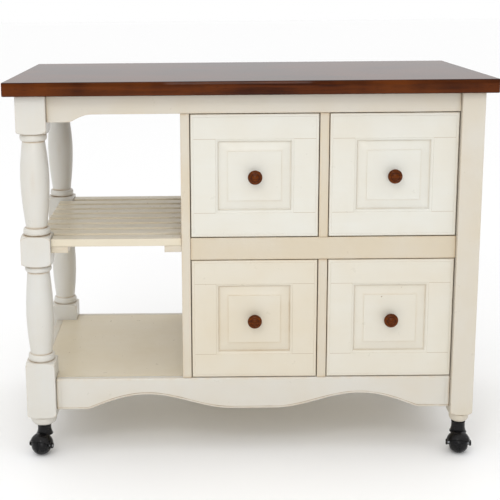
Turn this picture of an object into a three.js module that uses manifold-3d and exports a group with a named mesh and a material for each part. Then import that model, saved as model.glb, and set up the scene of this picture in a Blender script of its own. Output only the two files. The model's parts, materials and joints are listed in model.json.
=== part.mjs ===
// A kitchen island cart. A stained top lies on a painted frame. At the left two turned legs hold an
// open bay with a slatted shelf over a solid one, at the right two square posts hold four framed
// drawers, and the cart rolls on four hooded ball casters.
// Millimetres, +Z up, front towards -Y. The origin is on the floor under the middle of the top.

import * as THREE from "three";
import { mergeVertices } from "three/addons/utils/BufferGeometryUtils.js";
import Module from "manifold-3d";

const wasm = await Module();
wasm.setup();

// ---- Driving dimensions: overall ----
const HEIGHT = 914; // floor to worktop
const TOP_WIDTH = 1130;
const TOP_DEPTH = 570;
const TOP_THICK = 32;
const TOP_EASE = 2.5; // chamfer round both edges of the top
const TOP_SIDE_OVERHANG = 26; // past the legs, left and right
const TOP_FRONT_OVERHANG = 19; // past the legs, front and back
const GLUE_GAP = 0.3; // between pieces that meet

// ---- Driving dimensions: frame ----
const LEG = 70; // square of the turned legs
const POST = 53; // square of the right posts
const RAIL_SETBACK = 13; // rails and panels lie this far behind the leg faces
const BOARD = 18; // rails, stiles, aprons and the solid shelf
const PANEL = 15; // partition and side panel
const BACK_PANEL = 9;
const BAY_WIDTH = 308; // open bay, leg to stile
const STILE = 21;
const TOP_RAIL = 45;
const MID_RAIL = 53;
const SHELF_HEIGHT = 194; // floor to the top of the solid shelf
const APRON = 79;
const BRACKET = { flat: 54, run: 50, drop: 18 }; // under the top rail, beside a leg
const SCALLOP = { endFlat: 78, riseRun: 142, centreFlat: 100, rise: 37 };

// ---- Driving dimensions: turned legs and feet ----
const TOP_BLOCK = 89; // length of the square block under the top
const MID_BLOCK = 72;
const MID_BLOCK_ABOVE_SLATS = 8;
const BOTTOM_BLOCK = 140;
const SHOULDER = 13; // height of the turned round-over at a block's corners
const RING = { radius: 32, root: 28.5, height: 18 };
const SMALL_RING_HEIGHT = 13;
const SMALL_RING_COVE = 4; // between that ring and the middle block
const UPPER_TURNING = { lowNeck: 25, belly: 34, bellyAt: 0.565, highNeck: 26.5 };
const LOWER_TURNING = { lowNeck: 26, belly: 33, bellyAt: 0.47, highNeck: 26.5 };
const FOOT_HEIGHT = 22;
const FOOT_INSET = 3; // foot radius under half the square
const FOOT_TOE = 10; // how far the foot's round draws in at its bottom
const FOOT_BAND = 7; // upright stretch above that round
const GROOVE = 2; // narrow groove between block and foot

// ---- Driving dimensions: slatted shelf ----
const SLAT_COUNT = 9;
const SLAT = { width: 38, thick: 18 };
const SLAT_BACK_MARGIN = 9; // last slat to the back frame's face
const SLAT_END_INSET = 35; // slat ends behind the legs' outer faces
const CLEAT = { width: 40, height: 15 };

// ---- Driving dimensions: drawers ----
const DRAWER_GAP = 2; // round an inset front
const FRONT_THICK = 18;
const FRONT_FRAME = 58; // stiles and rails of a drawer front
const STICKING = { width: 7, round: 1.5, depth: 7 }; // moulding inside that frame
const PANEL_BEVEL = { width: 22, lip: 1.2 };
const EDGE_MOULD = { width: 7, depth: 3.2, round: 2, step: 0.6 }; // round the front's edge
const FIELD_DEPTH = 1.2; // raised field behind the front's frame
const BOX_WALL = 12;
const BOX_BOTTOM = 6;
const BOX_SIDE_CLEARANCE = 9; // each side of the box in its opening
const BOX_TOP_CLEARANCE = 60;
const BOX_BACK_CLEARANCE = 12;
const BOX_BOTTOM_RECESS = 12; // bottom panel above the sides' lower edges
const RUNNER = { width: 30, below: 18 }; // the upper ones hang behind the middle rail
const RUNNER_GAP = 1.5;
const GUIDE = 10; // width of each guide strip beside the runner
const KNOB = { radius: 17, base: 8.5, plinth: 2, waist: 6, waistFrom: 6, waistTo: 10, projection: 27 };
const KNOB_HEAD = { below: 6, half: 5, ring: 9, ringWidth: 1.5, ringDepth: 0.8 }; // from the knob's face
const KNOB_SPIGOT = { radius: 4, length: 14, clearance: 0.5 };
const KNOB_HOLE = 16.5; // depth of its hole from the frame's face

// ---- Driving dimensions: casters ----
const CASTER_HEIGHT = 76; // floor to the foot's underside
const WHEEL_RADIUS = 25;
const WHEEL_HALF_WIDTH = 21;
const WHEEL_CLEARANCE = 1.4; // wheel to hood
const HOOD_WALL = 2.6;
const HOOD_TILT = 38; // degrees, the mouth is higher at the front
const HOOD_LIP = 1; // how far the mouth lies below the axle
const NECK_BOTTOM = 37;
const NECK_RADIUS = 17;
const TRAIL = 20; // axle ahead of the swivel stem
const STEM = { radius: 4, length: 36, clearance: 1 };
const TREAD = { flat: 3, gap: 1, groove: 1.5 }; // flat rolling band and the groove in it
const AXLE_RADIUS = 3;
const AXLE_CLEARANCE = 0.5;
const BOSS = { radius: 7, reach: 1.2 };
const CASTER_TURN = { front_left: -17, front_right: -8, back_left: -12, back_right: -5 };

// ---- Places worked out from them ----
const TOP_UNDER = HEIGHT - TOP_THICK;
const LEG_OUT = TOP_WIDTH / 2 - TOP_SIDE_OVERHANG; // outer faces of legs and posts, in x
const LEG_FRONT = TOP_DEPTH / 2 - TOP_FRONT_OVERHANG; // and in y
const LEG_IN_X = -LEG_OUT + LEG; // left legs' inner face
const LEG_IN_Y = LEG_FRONT - LEG;
const POST_IN_X = LEG_OUT - POST;
const POST_IN_Y = LEG_FRONT - POST;
const RAIL_FACE = LEG_FRONT - RAIL_SETBACK;
const RAIL_INNER = RAIL_FACE - BOARD;
const STILE_LEFT = LEG_IN_X + BAY_WIDTH;
const STILE_RIGHT = STILE_LEFT + STILE;
const OPENING_WIDTH = (POST_IN_X - STILE_RIGHT - STILE) / 2;
const OPENING_TOP = TOP_UNDER - TOP_RAIL;
const OPENING_HEIGHT = (OPENING_TOP - SHELF_HEIGHT - MID_RAIL) / 2;
const MID_RAIL_BOTTOM = SHELF_HEIGHT + OPENING_HEIGHT;
const MID_RAIL_TOP = MID_RAIL_BOTTOM + MID_RAIL;
const APRON_BOTTOM = SHELF_HEIGHT - APRON;
const SLAT_TOP = MID_RAIL_TOP;
const BLOCK_BOTTOM = CASTER_HEIGHT + FOOT_HEIGHT;
const DRAWER_LEFT = [STILE_RIGHT, STILE_RIGHT + OPENING_WIDTH + STILE]; // openings' left edges
const DRAWER_BOTTOM = { lower: SHELF_HEIGHT, upper: MID_RAIL_TOP };
const SIDE_RAIL_OUT = -LEG_OUT + RAIL_SETBACK; // outer face of the left rails
const SIDE_PANEL_IN = LEG_OUT - RAIL_SETBACK - PANEL; // inner face of the right panel

const paint = new THREE.MeshStandardMaterial({ color: 0xe6dfcc, roughness: 0.5, metalness: 0 });
const paintedSlat = new THREE.MeshStandardMaterial({ color: 0xcfc6ac, roughness: 0.6, metalness: 0 });
const stain = new THREE.MeshStandardMaterial({ color: 0x4b1c06, roughness: 0.25, metalness: 0 });
const knobStain = new THREE.MeshStandardMaterial({ color: 0x64230c, roughness: 0.2, metalness: 0 });
const bareWood = new THREE.MeshStandardMaterial({ color: 0xcfb48a, roughness: 0.7, metalness: 0 });
const hoodPlastic = new THREE.MeshStandardMaterial({ color: 0x17171a, roughness: 0.35, metalness: 0 });
const wheelPlastic = new THREE.MeshStandardMaterial({ color: 0x0f0f12, roughness: 0.45, metalness: 0 });
const steel = new THREE.MeshStandardMaterial({ color: 0xb4b6b8, roughness: 0.3, metalness: 1 });

// ---- Making and cutting shapes ----
function solidOf(geometry) {
  const bare = geometry.index ? geometry.toNonIndexed() : geometry.clone();
  bare.deleteAttribute("normal");
  bare.deleteAttribute("uv");
  const merged = mergeVertices(bare, 1e-3);
  const vertProperties = merged.attributes.position.array;
  const triVerts = new Uint32Array(merged.index.array);
  return new wasm.Manifold(new wasm.Mesh({ numProp: 3, vertProperties, triVerts }));
}

function geometryOf(solid) {
  const made = solid.getMesh();
  const geometry = new THREE.BufferGeometry();
  geometry.setAttribute("position", new THREE.BufferAttribute(made.vertProperties, 3));
  geometry.setIndex(new THREE.BufferAttribute(made.triVerts, 1));
  geometry.computeVertexNormals();
  return geometry;
}

function joined(...geometries) {
  return geometryOf(geometries.map(solidOf).reduce((all, next) => all.add(next)));
}

function cut(geometry, ...tools) {
  return geometryOf(tools.map(solidOf).reduce((left, tool) => left.subtract(tool), solidOf(geometry)));
}

function common(a, b) {
  return geometryOf(solidOf(a).intersect(solidOf(b)));
}

function box(x0, x1, y0, y1, z0, z1) {
  const geometry = new THREE.BoxGeometry(x1 - x0, y1 - y0, z1 - z0);
  return geometry.translate((x0 + x1) / 2, (y0 + y1) / 2, (z0 + z1) / 2);
}

function shapeOf(outline) {
  return new THREE.Shape(outline.map(([u, v]) => new THREE.Vector2(u, v)));
}

// A flat outline of point pairs, given a depth along its own third axis.
function extruded(outline, depth) {
  return new THREE.ExtrudeGeometry(shapeOf(outline), { depth, bevelEnabled: false });
}

// An outline of [x, z] points carried along Y.
function boardAlongY(outline, y0, y1) {
  return extruded(outline, y1 - y0).rotateX(Math.PI / 2).translate(0, y1, 0);
}

// An outline of [y, z] points carried along X.
function boardAlongX(outline, x0, x1) {
  return extruded(outline, x1 - x0).rotateX(Math.PI / 2).rotateZ(Math.PI / 2).translate(x0, 0, 0);
}

// An outline of [x, y] points carried upwards.
function boardUp(outline, z0, z1) {
  return extruded(outline, z1 - z0).translate(0, 0, z0);
}

// A revolved profile of [radius, height] points about the upright axis.
function turned(profile, segments) {
  const points = profile.map(([radius, height]) => new THREE.Vector2(radius, height));
  return new THREE.LatheGeometry(points, segments).rotateX(Math.PI / 2);
}

function cylinder(radius, z0, z1, segments) {
  return turned([[0, z0], [radius, z0], [radius, z1], [0, z1]], segments);
}

// Rectangles of one size less an inset, each at its own depth y, skinned from back to front.
function steppedPanel(width, height, rings) {
  const positions = [];
  for (const [inset, y] of rings) {
    const x = width / 2 - inset;
    const z = height / 2 - inset;
    positions.push(-x, y, -z, x, y, -z, x, y, z, -x, y, z);
  }
  const index = [0, 2, 1, 0, 3, 2];
  for (let start = 0; start < 4 * (rings.length - 1); start += 4) {
    for (let side = 0; side < 4; side++) {
      const a = start + side;
      const b = start + ((side + 1) % 4);
      index.push(a, b, b + 4, a, b + 4, a + 4);
    }
  }
  const last = 4 * (rings.length - 1);
  index.push(last, last + 1, last + 2, last, last + 2, last + 3);
  const geometry = new THREE.BufferGeometry();
  geometry.setAttribute("position", new THREE.Float32BufferAttribute(positions, 3));
  geometry.setIndex(index);
  geometry.computeVertexNormals();
  return geometry;
}

const cart = new THREE.Group();
cart.name = "kitchen_island_cart";

function add(name, geometry, material, parent = cart) {
  const mesh = new THREE.Mesh(geometry, material);
  mesh.name = name;
  parent.add(mesh);
  return mesh;
}

// ---- Top ----
function top() {
  const x = TOP_WIDTH / 2;
  const y = TOP_DEPTH / 2;
  const outline = shapeOf([[-x, -y], [x, -y], [x, y], [-x, y]]);
  const ease = { bevelSize: TOP_EASE, bevelThickness: TOP_EASE, bevelOffset: -TOP_EASE, bevelSegments: 1 };
  const slab = new THREE.ExtrudeGeometry(outline, { depth: TOP_THICK - 2 * TOP_EASE, ...ease });
  add("top", slab.translate(0, 0, TOP_UNDER + TOP_EASE), stain);
}

// ---- Legs and posts, revolved and then cut square ----
const TURNED_SIDES = 16;
const FRAME_TOP = TOP_UNDER - GLUE_GAP;

function cornerRadius(square) {
  return (square / Math.SQRT2) / Math.cos(Math.PI / TURNED_SIDES) + 0.5;
}

// A quarter of an ellipse from the flat of a block's face to its corner, upwards or downwards.
function shoulder(square, z, up) {
  const half = square / 2;
  const corner = cornerRadius(square);
  const points = [0, 1, 2, 3].map((step) => {
    const angle = (step * Math.PI) / 6;
    return [half + (corner - half) * Math.sin(angle), z + up * SHOULDER * (1 - Math.cos(angle))];
  });
  return up > 0 ? points : points.reverse();
}

function bead(z, height) {
  return [0, 1, 2, 3, 4].map((step) => {
    const angle = (step * Math.PI) / 4;
    const radius = RING.root + (RING.radius - RING.root) * Math.sin(angle);
    return [radius, z + (height * (1 - Math.cos(angle))) / 2];
  });
}

// Swells on a quarter of a sine from each neck to the belly.
function belly(shape, z0, z1) {
  const steps = 5;
  const widest = z0 + (z1 - z0) * shape.bellyAt;
  const points = [];
  for (let step = 0; step <= steps; step++) {
    const share = step / steps;
    const swell = (shape.belly - shape.lowNeck) * Math.sin((share * Math.PI) / 2);
    points.push([shape.lowNeck + swell, z0 + (widest - z0) * share]);
  }
  for (let step = steps - 1; step >= 0; step--) {
    const share = step / steps;
    const swell = (shape.belly - shape.highNeck) * Math.sin((share * Math.PI) / 2);
    points.push([shape.highNeck + swell, z1 - (z1 - widest) * share]);
  }
  return points;
}

// The socket for the caster's stem, the round foot and the groove above it.
function footProfile(square) {
  const socket = STEM.radius + STEM.clearance;
  const socketTop = CASTER_HEIGHT + STEM.length + STEM.clearance;
  const widest = square / 2 - FOOT_INSET;
  const round = FOOT_HEIGHT - FOOT_BAND - GROOVE;
  const points = [[0, socketTop], [socket, socketTop], [socket, CASTER_HEIGHT]];
  for (let step = 0; step <= 4; step++) {
    const angle = (step * Math.PI) / 8;
    const radius = widest - FOOT_TOE * (1 - Math.sin(angle));
    points.push([radius, CASTER_HEIGHT + round * (1 - Math.cos(angle))]);
  }
  const grooveRadius = widest - GROOVE;
  points.push([widest, BLOCK_BOTTOM - GROOVE], [grooveRadius, BLOCK_BOTTOM - GROOVE]);
  points.push([grooveRadius, BLOCK_BOTTOM]);
  return points;
}

function squared(profile, square) {
  const half = square / 2;
  return common(turned(profile, TURNED_SIDES), box(-half, half, -half, half, 0, HEIGHT));
}

function turnedLeg() {
  const bottomBlockTop = BLOCK_BOTTOM + BOTTOM_BLOCK;
  const midBlockTop = SLAT_TOP + MID_BLOCK_ABOVE_SLATS;
  const midBlockBottom = midBlockTop - MID_BLOCK;
  const topBlockBottom = FRAME_TOP - TOP_BLOCK;
  const smallRing = midBlockBottom - SMALL_RING_HEIGHT - SMALL_RING_COVE;
  const profile = [
    ...footProfile(LEG),
    ...shoulder(LEG, BLOCK_BOTTOM, 1),
    ...shoulder(LEG, bottomBlockTop, -1),
    ...bead(bottomBlockTop, RING.height),
    ...belly(LOWER_TURNING, bottomBlockTop + RING.height, smallRing),
    ...bead(smallRing, SMALL_RING_HEIGHT),
    [RING.root, midBlockBottom],
    ...shoulder(LEG, midBlockBottom, 1),
    ...shoulder(LEG, midBlockTop, -1),
    ...bead(midBlockTop, RING.height),
    ...belly(UPPER_TURNING, midBlockTop + RING.height, topBlockBottom - RING.height),
    ...bead(topBlockBottom - RING.height, RING.height),
    ...shoulder(LEG, topBlockBottom, 1),
    [cornerRadius(LEG), FRAME_TOP],
    [0, FRAME_TOP],
  ];
  return squared(profile, LEG);
}

function squarePost() {
  const profile = [
    ...footProfile(POST),
    ...shoulder(POST, BLOCK_BOTTOM, 1),
    [cornerRadius(POST), FRAME_TOP],
    [0, FRAME_TOP],
  ];
  return squared(profile, POST);
}

const CORNERS = {
  front_left: { x: -LEG_OUT + LEG / 2, y: -LEG_FRONT + LEG / 2 },
  front_right: { x: LEG_OUT - POST / 2, y: -LEG_FRONT + POST / 2 },
  back_left: { x: -LEG_OUT + LEG / 2, y: LEG_FRONT - LEG / 2 },
  back_right: { x: LEG_OUT - POST / 2, y: LEG_FRONT - POST / 2 },
};

function legsAndPosts() {
  for (const [corner, place] of Object.entries(CORNERS)) {
    const left = corner.endsWith("left");
    const name = corner + (left ? "_leg" : "_post");
    add(name, left ? turnedLeg() : squarePost(), paint).position.set(place.x, place.y, 0);
  }
}

// ---- Frame ----
// Under a top rail: flat beside the leg, then a quarter of a sine up to the rail's lower edge.
function bracketOutline(start, direction) {
  const steps = 6;
  const points = [[start, OPENING_TOP - BRACKET.drop]];
  for (let step = 0; step <= steps; step++) {
    const share = step / steps;
    const across = start + direction * (BRACKET.flat + BRACKET.run * share);
    points.push([across, OPENING_TOP - BRACKET.drop * (1 - Math.sin((share * Math.PI) / 2))]);
  }
  return points;
}

function topRails() {
  const left = LEG_IN_X + GLUE_GAP;
  const right = POST_IN_X - GLUE_GAP;
  const long = [[left, FRAME_TOP], ...bracketOutline(left, 1), [right, OPENING_TOP], [right, FRAME_TOP]];
  add("front_top_rail", boardAlongY(long, -RAIL_FACE, -RAIL_INNER), paint);
  add("back_top_rail", boardAlongY(long, RAIL_INNER, RAIL_FACE), paint);
  const end = LEG_IN_Y - GLUE_GAP;
  const brackets = [...bracketOutline(-end, 1), ...bracketOutline(end, -1).reverse()];
  const short = [[-end, FRAME_TOP], ...brackets, [end, FRAME_TOP]];
  add("left_top_rail", boardAlongX(short, SIDE_RAIL_OUT, SIDE_RAIL_OUT + BOARD), paint);
}

function drawerFrame() {
  const bar = (name, x0, x1, z0, z1) => add(name, box(x0, x1, -RAIL_FACE, -RAIL_INNER, z0, z1), paint);
  const centre = DRAWER_LEFT[1] - STILE;
  bar("left_stile", STILE_LEFT, STILE_RIGHT, SHELF_HEIGHT + GLUE_GAP, OPENING_TOP - GLUE_GAP);
  bar("mid_rail", STILE_RIGHT + GLUE_GAP, POST_IN_X - GLUE_GAP, MID_RAIL_BOTTOM, MID_RAIL_TOP);
  bar("upper_centre_stile", centre, centre + STILE, MID_RAIL_TOP + GLUE_GAP, OPENING_TOP - GLUE_GAP);
  bar("lower_centre_stile", centre, centre + STILE, SHELF_HEIGHT + GLUE_GAP, MID_RAIL_BOTTOM - GLUE_GAP);
}

// The lower edge is flat at the ends and the middle, and rises to a rounded peak between them:
// a quarter of a sine up from the end, and half a cosine down to the middle.
function apronOutline() {
  const steps = 8;
  const left = LEG_IN_X + GLUE_GAP;
  const right = POST_IN_X - GLUE_GAP;
  const middle = (left + right) / 2;
  const corner = left + SCALLOP.endFlat;
  const peak = corner + SCALLOP.riseRun;
  const foot = middle - SCALLOP.centreFlat / 2;
  const half = [[left, APRON_BOTTOM]];
  for (let step = 0; step <= steps; step++) {
    const share = step / steps;
    const up = SCALLOP.rise * Math.sin((share * Math.PI) / 2);
    half.push([corner + SCALLOP.riseRun * share, APRON_BOTTOM + up]);
  }
  for (let step = 1; step <= steps; step++) {
    const share = step / steps;
    const up = (SCALLOP.rise * (1 + Math.cos(share * Math.PI))) / 2;
    half.push([peak + (foot - peak) * share, APRON_BOTTOM + up]);
  }
  const mirrored = half.map(([x, z]) => [2 * middle - x, z]).reverse();
  return [[left, SHELF_HEIGHT], ...half, ...mirrored, [right, SHELF_HEIGHT]];
}

function bottomRails() {
  add("front_apron", boardAlongY(apronOutline(), -RAIL_FACE, -RAIL_INNER), paint);
  add("back_apron", boardAlongY(apronOutline(), RAIL_INNER, RAIL_FACE), paint);
  const end = LEG_IN_Y - GLUE_GAP;
  const inner = SIDE_RAIL_OUT + BOARD;
  add("left_bottom_rail", box(SIDE_RAIL_OUT, inner, -end, end, APRON_BOTTOM, SHELF_HEIGHT), paint);
}

// The solid shelf is cut round the legs and posts.
function bottomShelf() {
  const left = SIDE_RAIL_OUT + BOARD + GLUE_GAP;
  const right = SIDE_PANEL_IN - GLUE_GAP;
  const legX = LEG_IN_X + GLUE_GAP;
  const legY = LEG_IN_Y - GLUE_GAP;
  const postX = POST_IN_X - GLUE_GAP;
  const postY = POST_IN_Y - GLUE_GAP;
  const edge = RAIL_INNER - GLUE_GAP;
  const outline = [
    [legX, -edge], [postX, -edge], [postX, -postY], [right, -postY],
    [right, postY], [postX, postY], [postX, edge], [legX, edge],
    [legX, legY], [left, legY], [left, -legY], [legX, -legY],
  ];
  add("bottom_shelf", boardUp(outline, SHELF_HEIGHT - BOARD, SHELF_HEIGHT), paintedSlat);
}

function panels() {
  const edge = RAIL_INNER - GLUE_GAP;
  const floor = SHELF_HEIGHT + GLUE_GAP;
  const side = POST_IN_Y - GLUE_GAP;
  const outer = SIDE_PANEL_IN + PANEL;
  const backTop = OPENING_TOP - GLUE_GAP;
  const back = box(STILE_LEFT, POST_IN_X - GLUE_GAP, RAIL_INNER, RAIL_INNER + BACK_PANEL, floor, backTop);
  add("partition_panel", box(STILE_LEFT, STILE_LEFT + PANEL, -edge, edge, floor, FRAME_TOP), paint);
  add("right_side_panel", box(SIDE_PANEL_IN, outer, -side, side, APRON_BOTTOM, FRAME_TOP), paint);
  add("back_panel", back, paint);
}

// ---- Slatted shelf ----
// A slat that meets a leg stops at its inner face, the others run on between the legs.
function slattedShelf() {
  const right = STILE_LEFT - GLUE_GAP;
  const pitch = (2 * RAIL_FACE - SLAT_BACK_MARGIN - SLAT.width) / (SLAT_COUNT - 1);
  const underside = SLAT_TOP - SLAT.thick;
  for (let number = 1; number <= SLAT_COUNT; number++) {
    const front = -RAIL_FACE + pitch * (number - 1);
    const clearOfLegs = front > -LEG_IN_Y && front + SLAT.width < LEG_IN_Y;
    const left = clearOfLegs ? -LEG_OUT + SLAT_END_INSET : LEG_IN_X + GLUE_GAP;
    add("slat_" + number, box(left, right, front, front + SLAT.width, underside, SLAT_TOP), paintedSlat);
  }
  const cleat = (name, x) => {
    const z = underside - GLUE_GAP;
    const back = RAIL_FACE - SLAT_BACK_MARGIN;
    add(name, box(x, x + CLEAT.width, -RAIL_FACE, back, z - CLEAT.height, z), paint);
  };
  cleat("left_slat_cleat", LEG_IN_X + GLUE_GAP);
  cleat("right_slat_cleat", right - CLEAT.width);
}

// ---- Drawers ----
// From the back face round the edge moulding, over the frame, down the sticking into a groove,
// and up the bevel to the panel's field.
function drawerFront() {
  const groove = FRONT_FRAME + STICKING.width;
  const bevelTop = groove + PANEL_BEVEL.width;
  const rings = [
    [0, FRONT_THICK], [0, EDGE_MOULD.depth], [EDGE_MOULD.round, EDGE_MOULD.depth - EDGE_MOULD.round],
    [EDGE_MOULD.width - EDGE_MOULD.step, EDGE_MOULD.step], [EDGE_MOULD.width, 0],
    [FRONT_FRAME, 0], [FRONT_FRAME + STICKING.round, STICKING.round],
    [groove - STICKING.round, STICKING.depth / 2], [groove, STICKING.depth],
    [bevelTop - PANEL_BEVEL.lip, FIELD_DEPTH + PANEL_BEVEL.lip], [bevelTop, FIELD_DEPTH],
  ];
  const width = OPENING_WIDTH - 2 * DRAWER_GAP;
  const height = OPENING_HEIGHT - 2 * DRAWER_GAP;
  const panel = steppedPanel(width, height, rings.map(([inset, depth]) => [inset, depth - RAIL_FACE]));
  const hole = cylinder(KNOB_SPIGOT.radius + KNOB_SPIGOT.clearance, -FRONT_THICK, KNOB_HOLE, 12)
    .rotateX(-Math.PI / 2).translate(0, -RAIL_FACE, 0);
  return cut(panel, hole).translate(0, 0, OPENING_HEIGHT / 2);
}

// Two sides, a bottom panel and its two guide strips in one outline, with the end walls added.
function drawerBox() {
  const out = OPENING_WIDTH / 2 - BOX_SIDE_CLEARANCE;
  const inner = out - BOX_WALL;
  const guideIn = RUNNER.width / 2 + RUNNER_GAP;
  const guideOut = guideIn + GUIDE;
  const bottom = BOX_BOTTOM_RECESS;
  const rim = OPENING_HEIGHT - BOX_TOP_CLEARANCE;
  const floor = bottom + BOX_BOTTOM;
  const front = -RAIL_FACE + FRONT_THICK + GLUE_GAP;
  const back = RAIL_INNER - BOX_BACK_CLEARANCE;
  const right = [
    [guideIn, bottom], [guideIn, RUNNER_GAP], [guideOut, RUNNER_GAP], [guideOut, bottom],
    [inner, bottom], [inner, GLUE_GAP], [out, GLUE_GAP], [out, rim], [inner, rim], [inner, floor],
  ];
  const left = right.map(([x, z]) => [-x, z]).reverse();
  return joined(
    boardAlongY([...right, ...left], front, back),
    box(-inner - 1, inner + 1, front, front + BOX_WALL, bottom + 1, rim),
    box(-inner - 1, inner + 1, back - BOX_WALL, back, bottom + 1, rim),
  );
}

// A mushroom with a raised ring on its face, on a spigot that goes into the drawer front.
function knob() {
  const { ring, ringWidth, ringDepth } = KNOB_HEAD;
  const face = KNOB.projection;
  const head = [-45, 0, 45].map((degrees) => {
    const angle = THREE.MathUtils.degToRad(degrees);
    return [KNOB.radius * Math.cos(angle), face - KNOB_HEAD.below + KNOB_HEAD.half * Math.sin(angle)];
  });
  const profile = [
    [0, -KNOB_SPIGOT.length], [KNOB_SPIGOT.radius, -KNOB_SPIGOT.length], [KNOB_SPIGOT.radius, 0],
    [KNOB.base, 0], [KNOB.base, KNOB.plinth], [KNOB.waist, KNOB.waistFrom], [KNOB.waist, KNOB.waistTo],
    ...head, [ring + ringWidth, face - ringDepth], [ring, face - 2 * ringDepth],
    [ring - ringWidth, face - ringDepth], [0, face],
  ];
  return turned(profile, 12).rotateX(Math.PI / 2);
}

function runner(level) {
  const below = level === "upper" ? -RUNNER.below : GLUE_GAP;
  const half = RUNNER.width / 2;
  const front = -RAIL_FACE + Math.max(BOARD, FRONT_THICK) + GLUE_GAP;
  const back = RAIL_INNER - GLUE_GAP;
  return box(-half, half, front, back, below, BOX_BOTTOM_RECESS - RUNNER_GAP);
}

function drawers() {
  ["upper", "lower"].forEach((level) => {
    ["left", "right"].forEach((side, column) => {
      const name = level + "_" + side + "_drawer";
      const bay = new THREE.Group();
      bay.position.set(DRAWER_LEFT[column] + OPENING_WIDTH / 2, 0, DRAWER_BOTTOM[level]);
      cart.add(bay);
      add(name + "_front", drawerFront(), paint, bay);
      add(name + "_box", drawerBox(), bareWood, bay);
      add(name + "_runner", runner(level), bareWood, bay);
      const field = -RAIL_FACE + FIELD_DEPTH - GLUE_GAP;
      add(name + "_knob", knob(), knobStain, bay).position.set(0, field, OPENING_HEIGHT / 2);
    });
  });
}

// ---- Casters, each about its own upright stem, with the axle ahead of it along -Y ----
function acrossAxle(geometry) {
  return geometry.rotateY(Math.PI / 2).translate(0, -TRAIL, WHEEL_RADIUS);
}

function casterHood() {
  const inside = WHEEL_RADIUS + WHEEL_CLEARANCE;
  const outside = inside + HOOD_WALL;
  const bossEnd = outside + BOSS.reach;
  const sphere = (radius) => new THREE.SphereGeometry(radius, 16, 10).translate(0, -TRAIL, WHEEL_RADIUS);
  const stemTop = CASTER_HEIGHT + STEM.length;
  const body = joined(
    sphere(outside),
    cylinder(NECK_RADIUS, NECK_BOTTOM, CASTER_HEIGHT - GLUE_GAP, 16),
    cylinder(STEM.radius, CASTER_HEIGHT - 2, stemTop, 10),
  );
  const size = 3 * outside;
  const mouth = box(-size, size, -size, size, -size, -HOOD_LIP)
    .rotateX(THREE.MathUtils.degToRad(-HOOD_TILT)).translate(0, -TRAIL, WHEEL_RADIUS);
  const boss = acrossAxle(cylinder(BOSS.radius, -bossEnd, bossEnd, 16));
  const hole = acrossAxle(cylinder(AXLE_RADIUS + AXLE_CLEARANCE, -size, size, 12));
  return cut(joined(cut(body, mouth), boss), sphere(inside), hole);
}

// A ball with flat ends, bored for the axle, with a shallow groove round its middle.
function casterWheel() {
  const bore = AXLE_RADIUS + AXLE_CLEARANCE;
  const steps = 3;
  const deep = WHEEL_RADIUS - TREAD.groove;
  const half = [[deep, 0], [deep, TREAD.gap], [WHEEL_RADIUS, TREAD.gap], [WHEEL_RADIUS, TREAD.flat]];
  for (let step = 1; step <= steps; step++) {
    const across = TREAD.flat + ((WHEEL_HALF_WIDTH - TREAD.flat) * step) / steps;
    half.push([Math.sqrt(WHEEL_RADIUS ** 2 - across ** 2), across]);
  }
  const other = half.slice(1).map(([radius, across]) => [radius, -across]).reverse();
  const profile = [...other, ...half, [bore, WHEEL_HALF_WIDTH], [bore, -WHEEL_HALF_WIDTH], other[0]];
  return acrossAxle(turned(profile, 16));
}

function casters() {
  const axleEnd = WHEEL_RADIUS + WHEEL_CLEARANCE + HOOD_WALL + BOSS.reach;
  for (const [corner, place] of Object.entries(CORNERS)) {
    const swivel = new THREE.Group();
    swivel.position.set(place.x, place.y, 0);
    swivel.rotation.z = THREE.MathUtils.degToRad(CASTER_TURN[corner]);
    cart.add(swivel);
    add(corner + "_caster_hood", casterHood(), hoodPlastic, swivel);
    add(corner + "_caster_axle", acrossAxle(cylinder(AXLE_RADIUS, -axleEnd, axleEnd, 12)), steel, swivel);
    add(corner + "_caster_wheel", casterWheel(), wheelPlastic, swivel);
  }
}

top();
legsAndPosts();
topRails();
drawerFrame();
bottomRails();
bottomShelf();
panels();
slattedShelf();
drawers();
casters();

export default cart;
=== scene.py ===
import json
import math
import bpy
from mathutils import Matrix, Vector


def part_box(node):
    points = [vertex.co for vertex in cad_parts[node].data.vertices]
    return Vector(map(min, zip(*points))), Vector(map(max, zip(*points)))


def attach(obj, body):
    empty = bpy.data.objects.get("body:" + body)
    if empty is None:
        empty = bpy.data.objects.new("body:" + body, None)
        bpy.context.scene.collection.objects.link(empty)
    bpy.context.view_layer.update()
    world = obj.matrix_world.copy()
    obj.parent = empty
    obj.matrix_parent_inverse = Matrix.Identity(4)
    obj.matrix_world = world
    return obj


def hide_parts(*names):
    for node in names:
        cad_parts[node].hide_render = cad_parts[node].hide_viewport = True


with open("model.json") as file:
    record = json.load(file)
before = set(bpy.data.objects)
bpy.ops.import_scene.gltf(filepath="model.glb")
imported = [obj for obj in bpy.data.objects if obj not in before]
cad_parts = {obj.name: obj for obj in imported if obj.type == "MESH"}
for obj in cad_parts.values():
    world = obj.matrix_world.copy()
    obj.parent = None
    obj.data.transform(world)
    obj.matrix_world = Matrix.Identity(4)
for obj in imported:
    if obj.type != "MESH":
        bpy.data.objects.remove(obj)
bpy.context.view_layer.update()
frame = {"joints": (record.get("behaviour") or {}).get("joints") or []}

# A kitchen island cart: a stained and lacquered top on an antiqued cream frame, with turned legs,
# framed drawers with knobs, a slatted and a solid shelf, and four hooded ball casters.
# Metres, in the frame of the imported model. Every new piece stands for a node of that model.

import zlib

import bmesh
import bpy
import numpy as np
from mathutils import Matrix, Vector

MM = 0.001
X, Y, Z = 0, 1, 2

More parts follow.
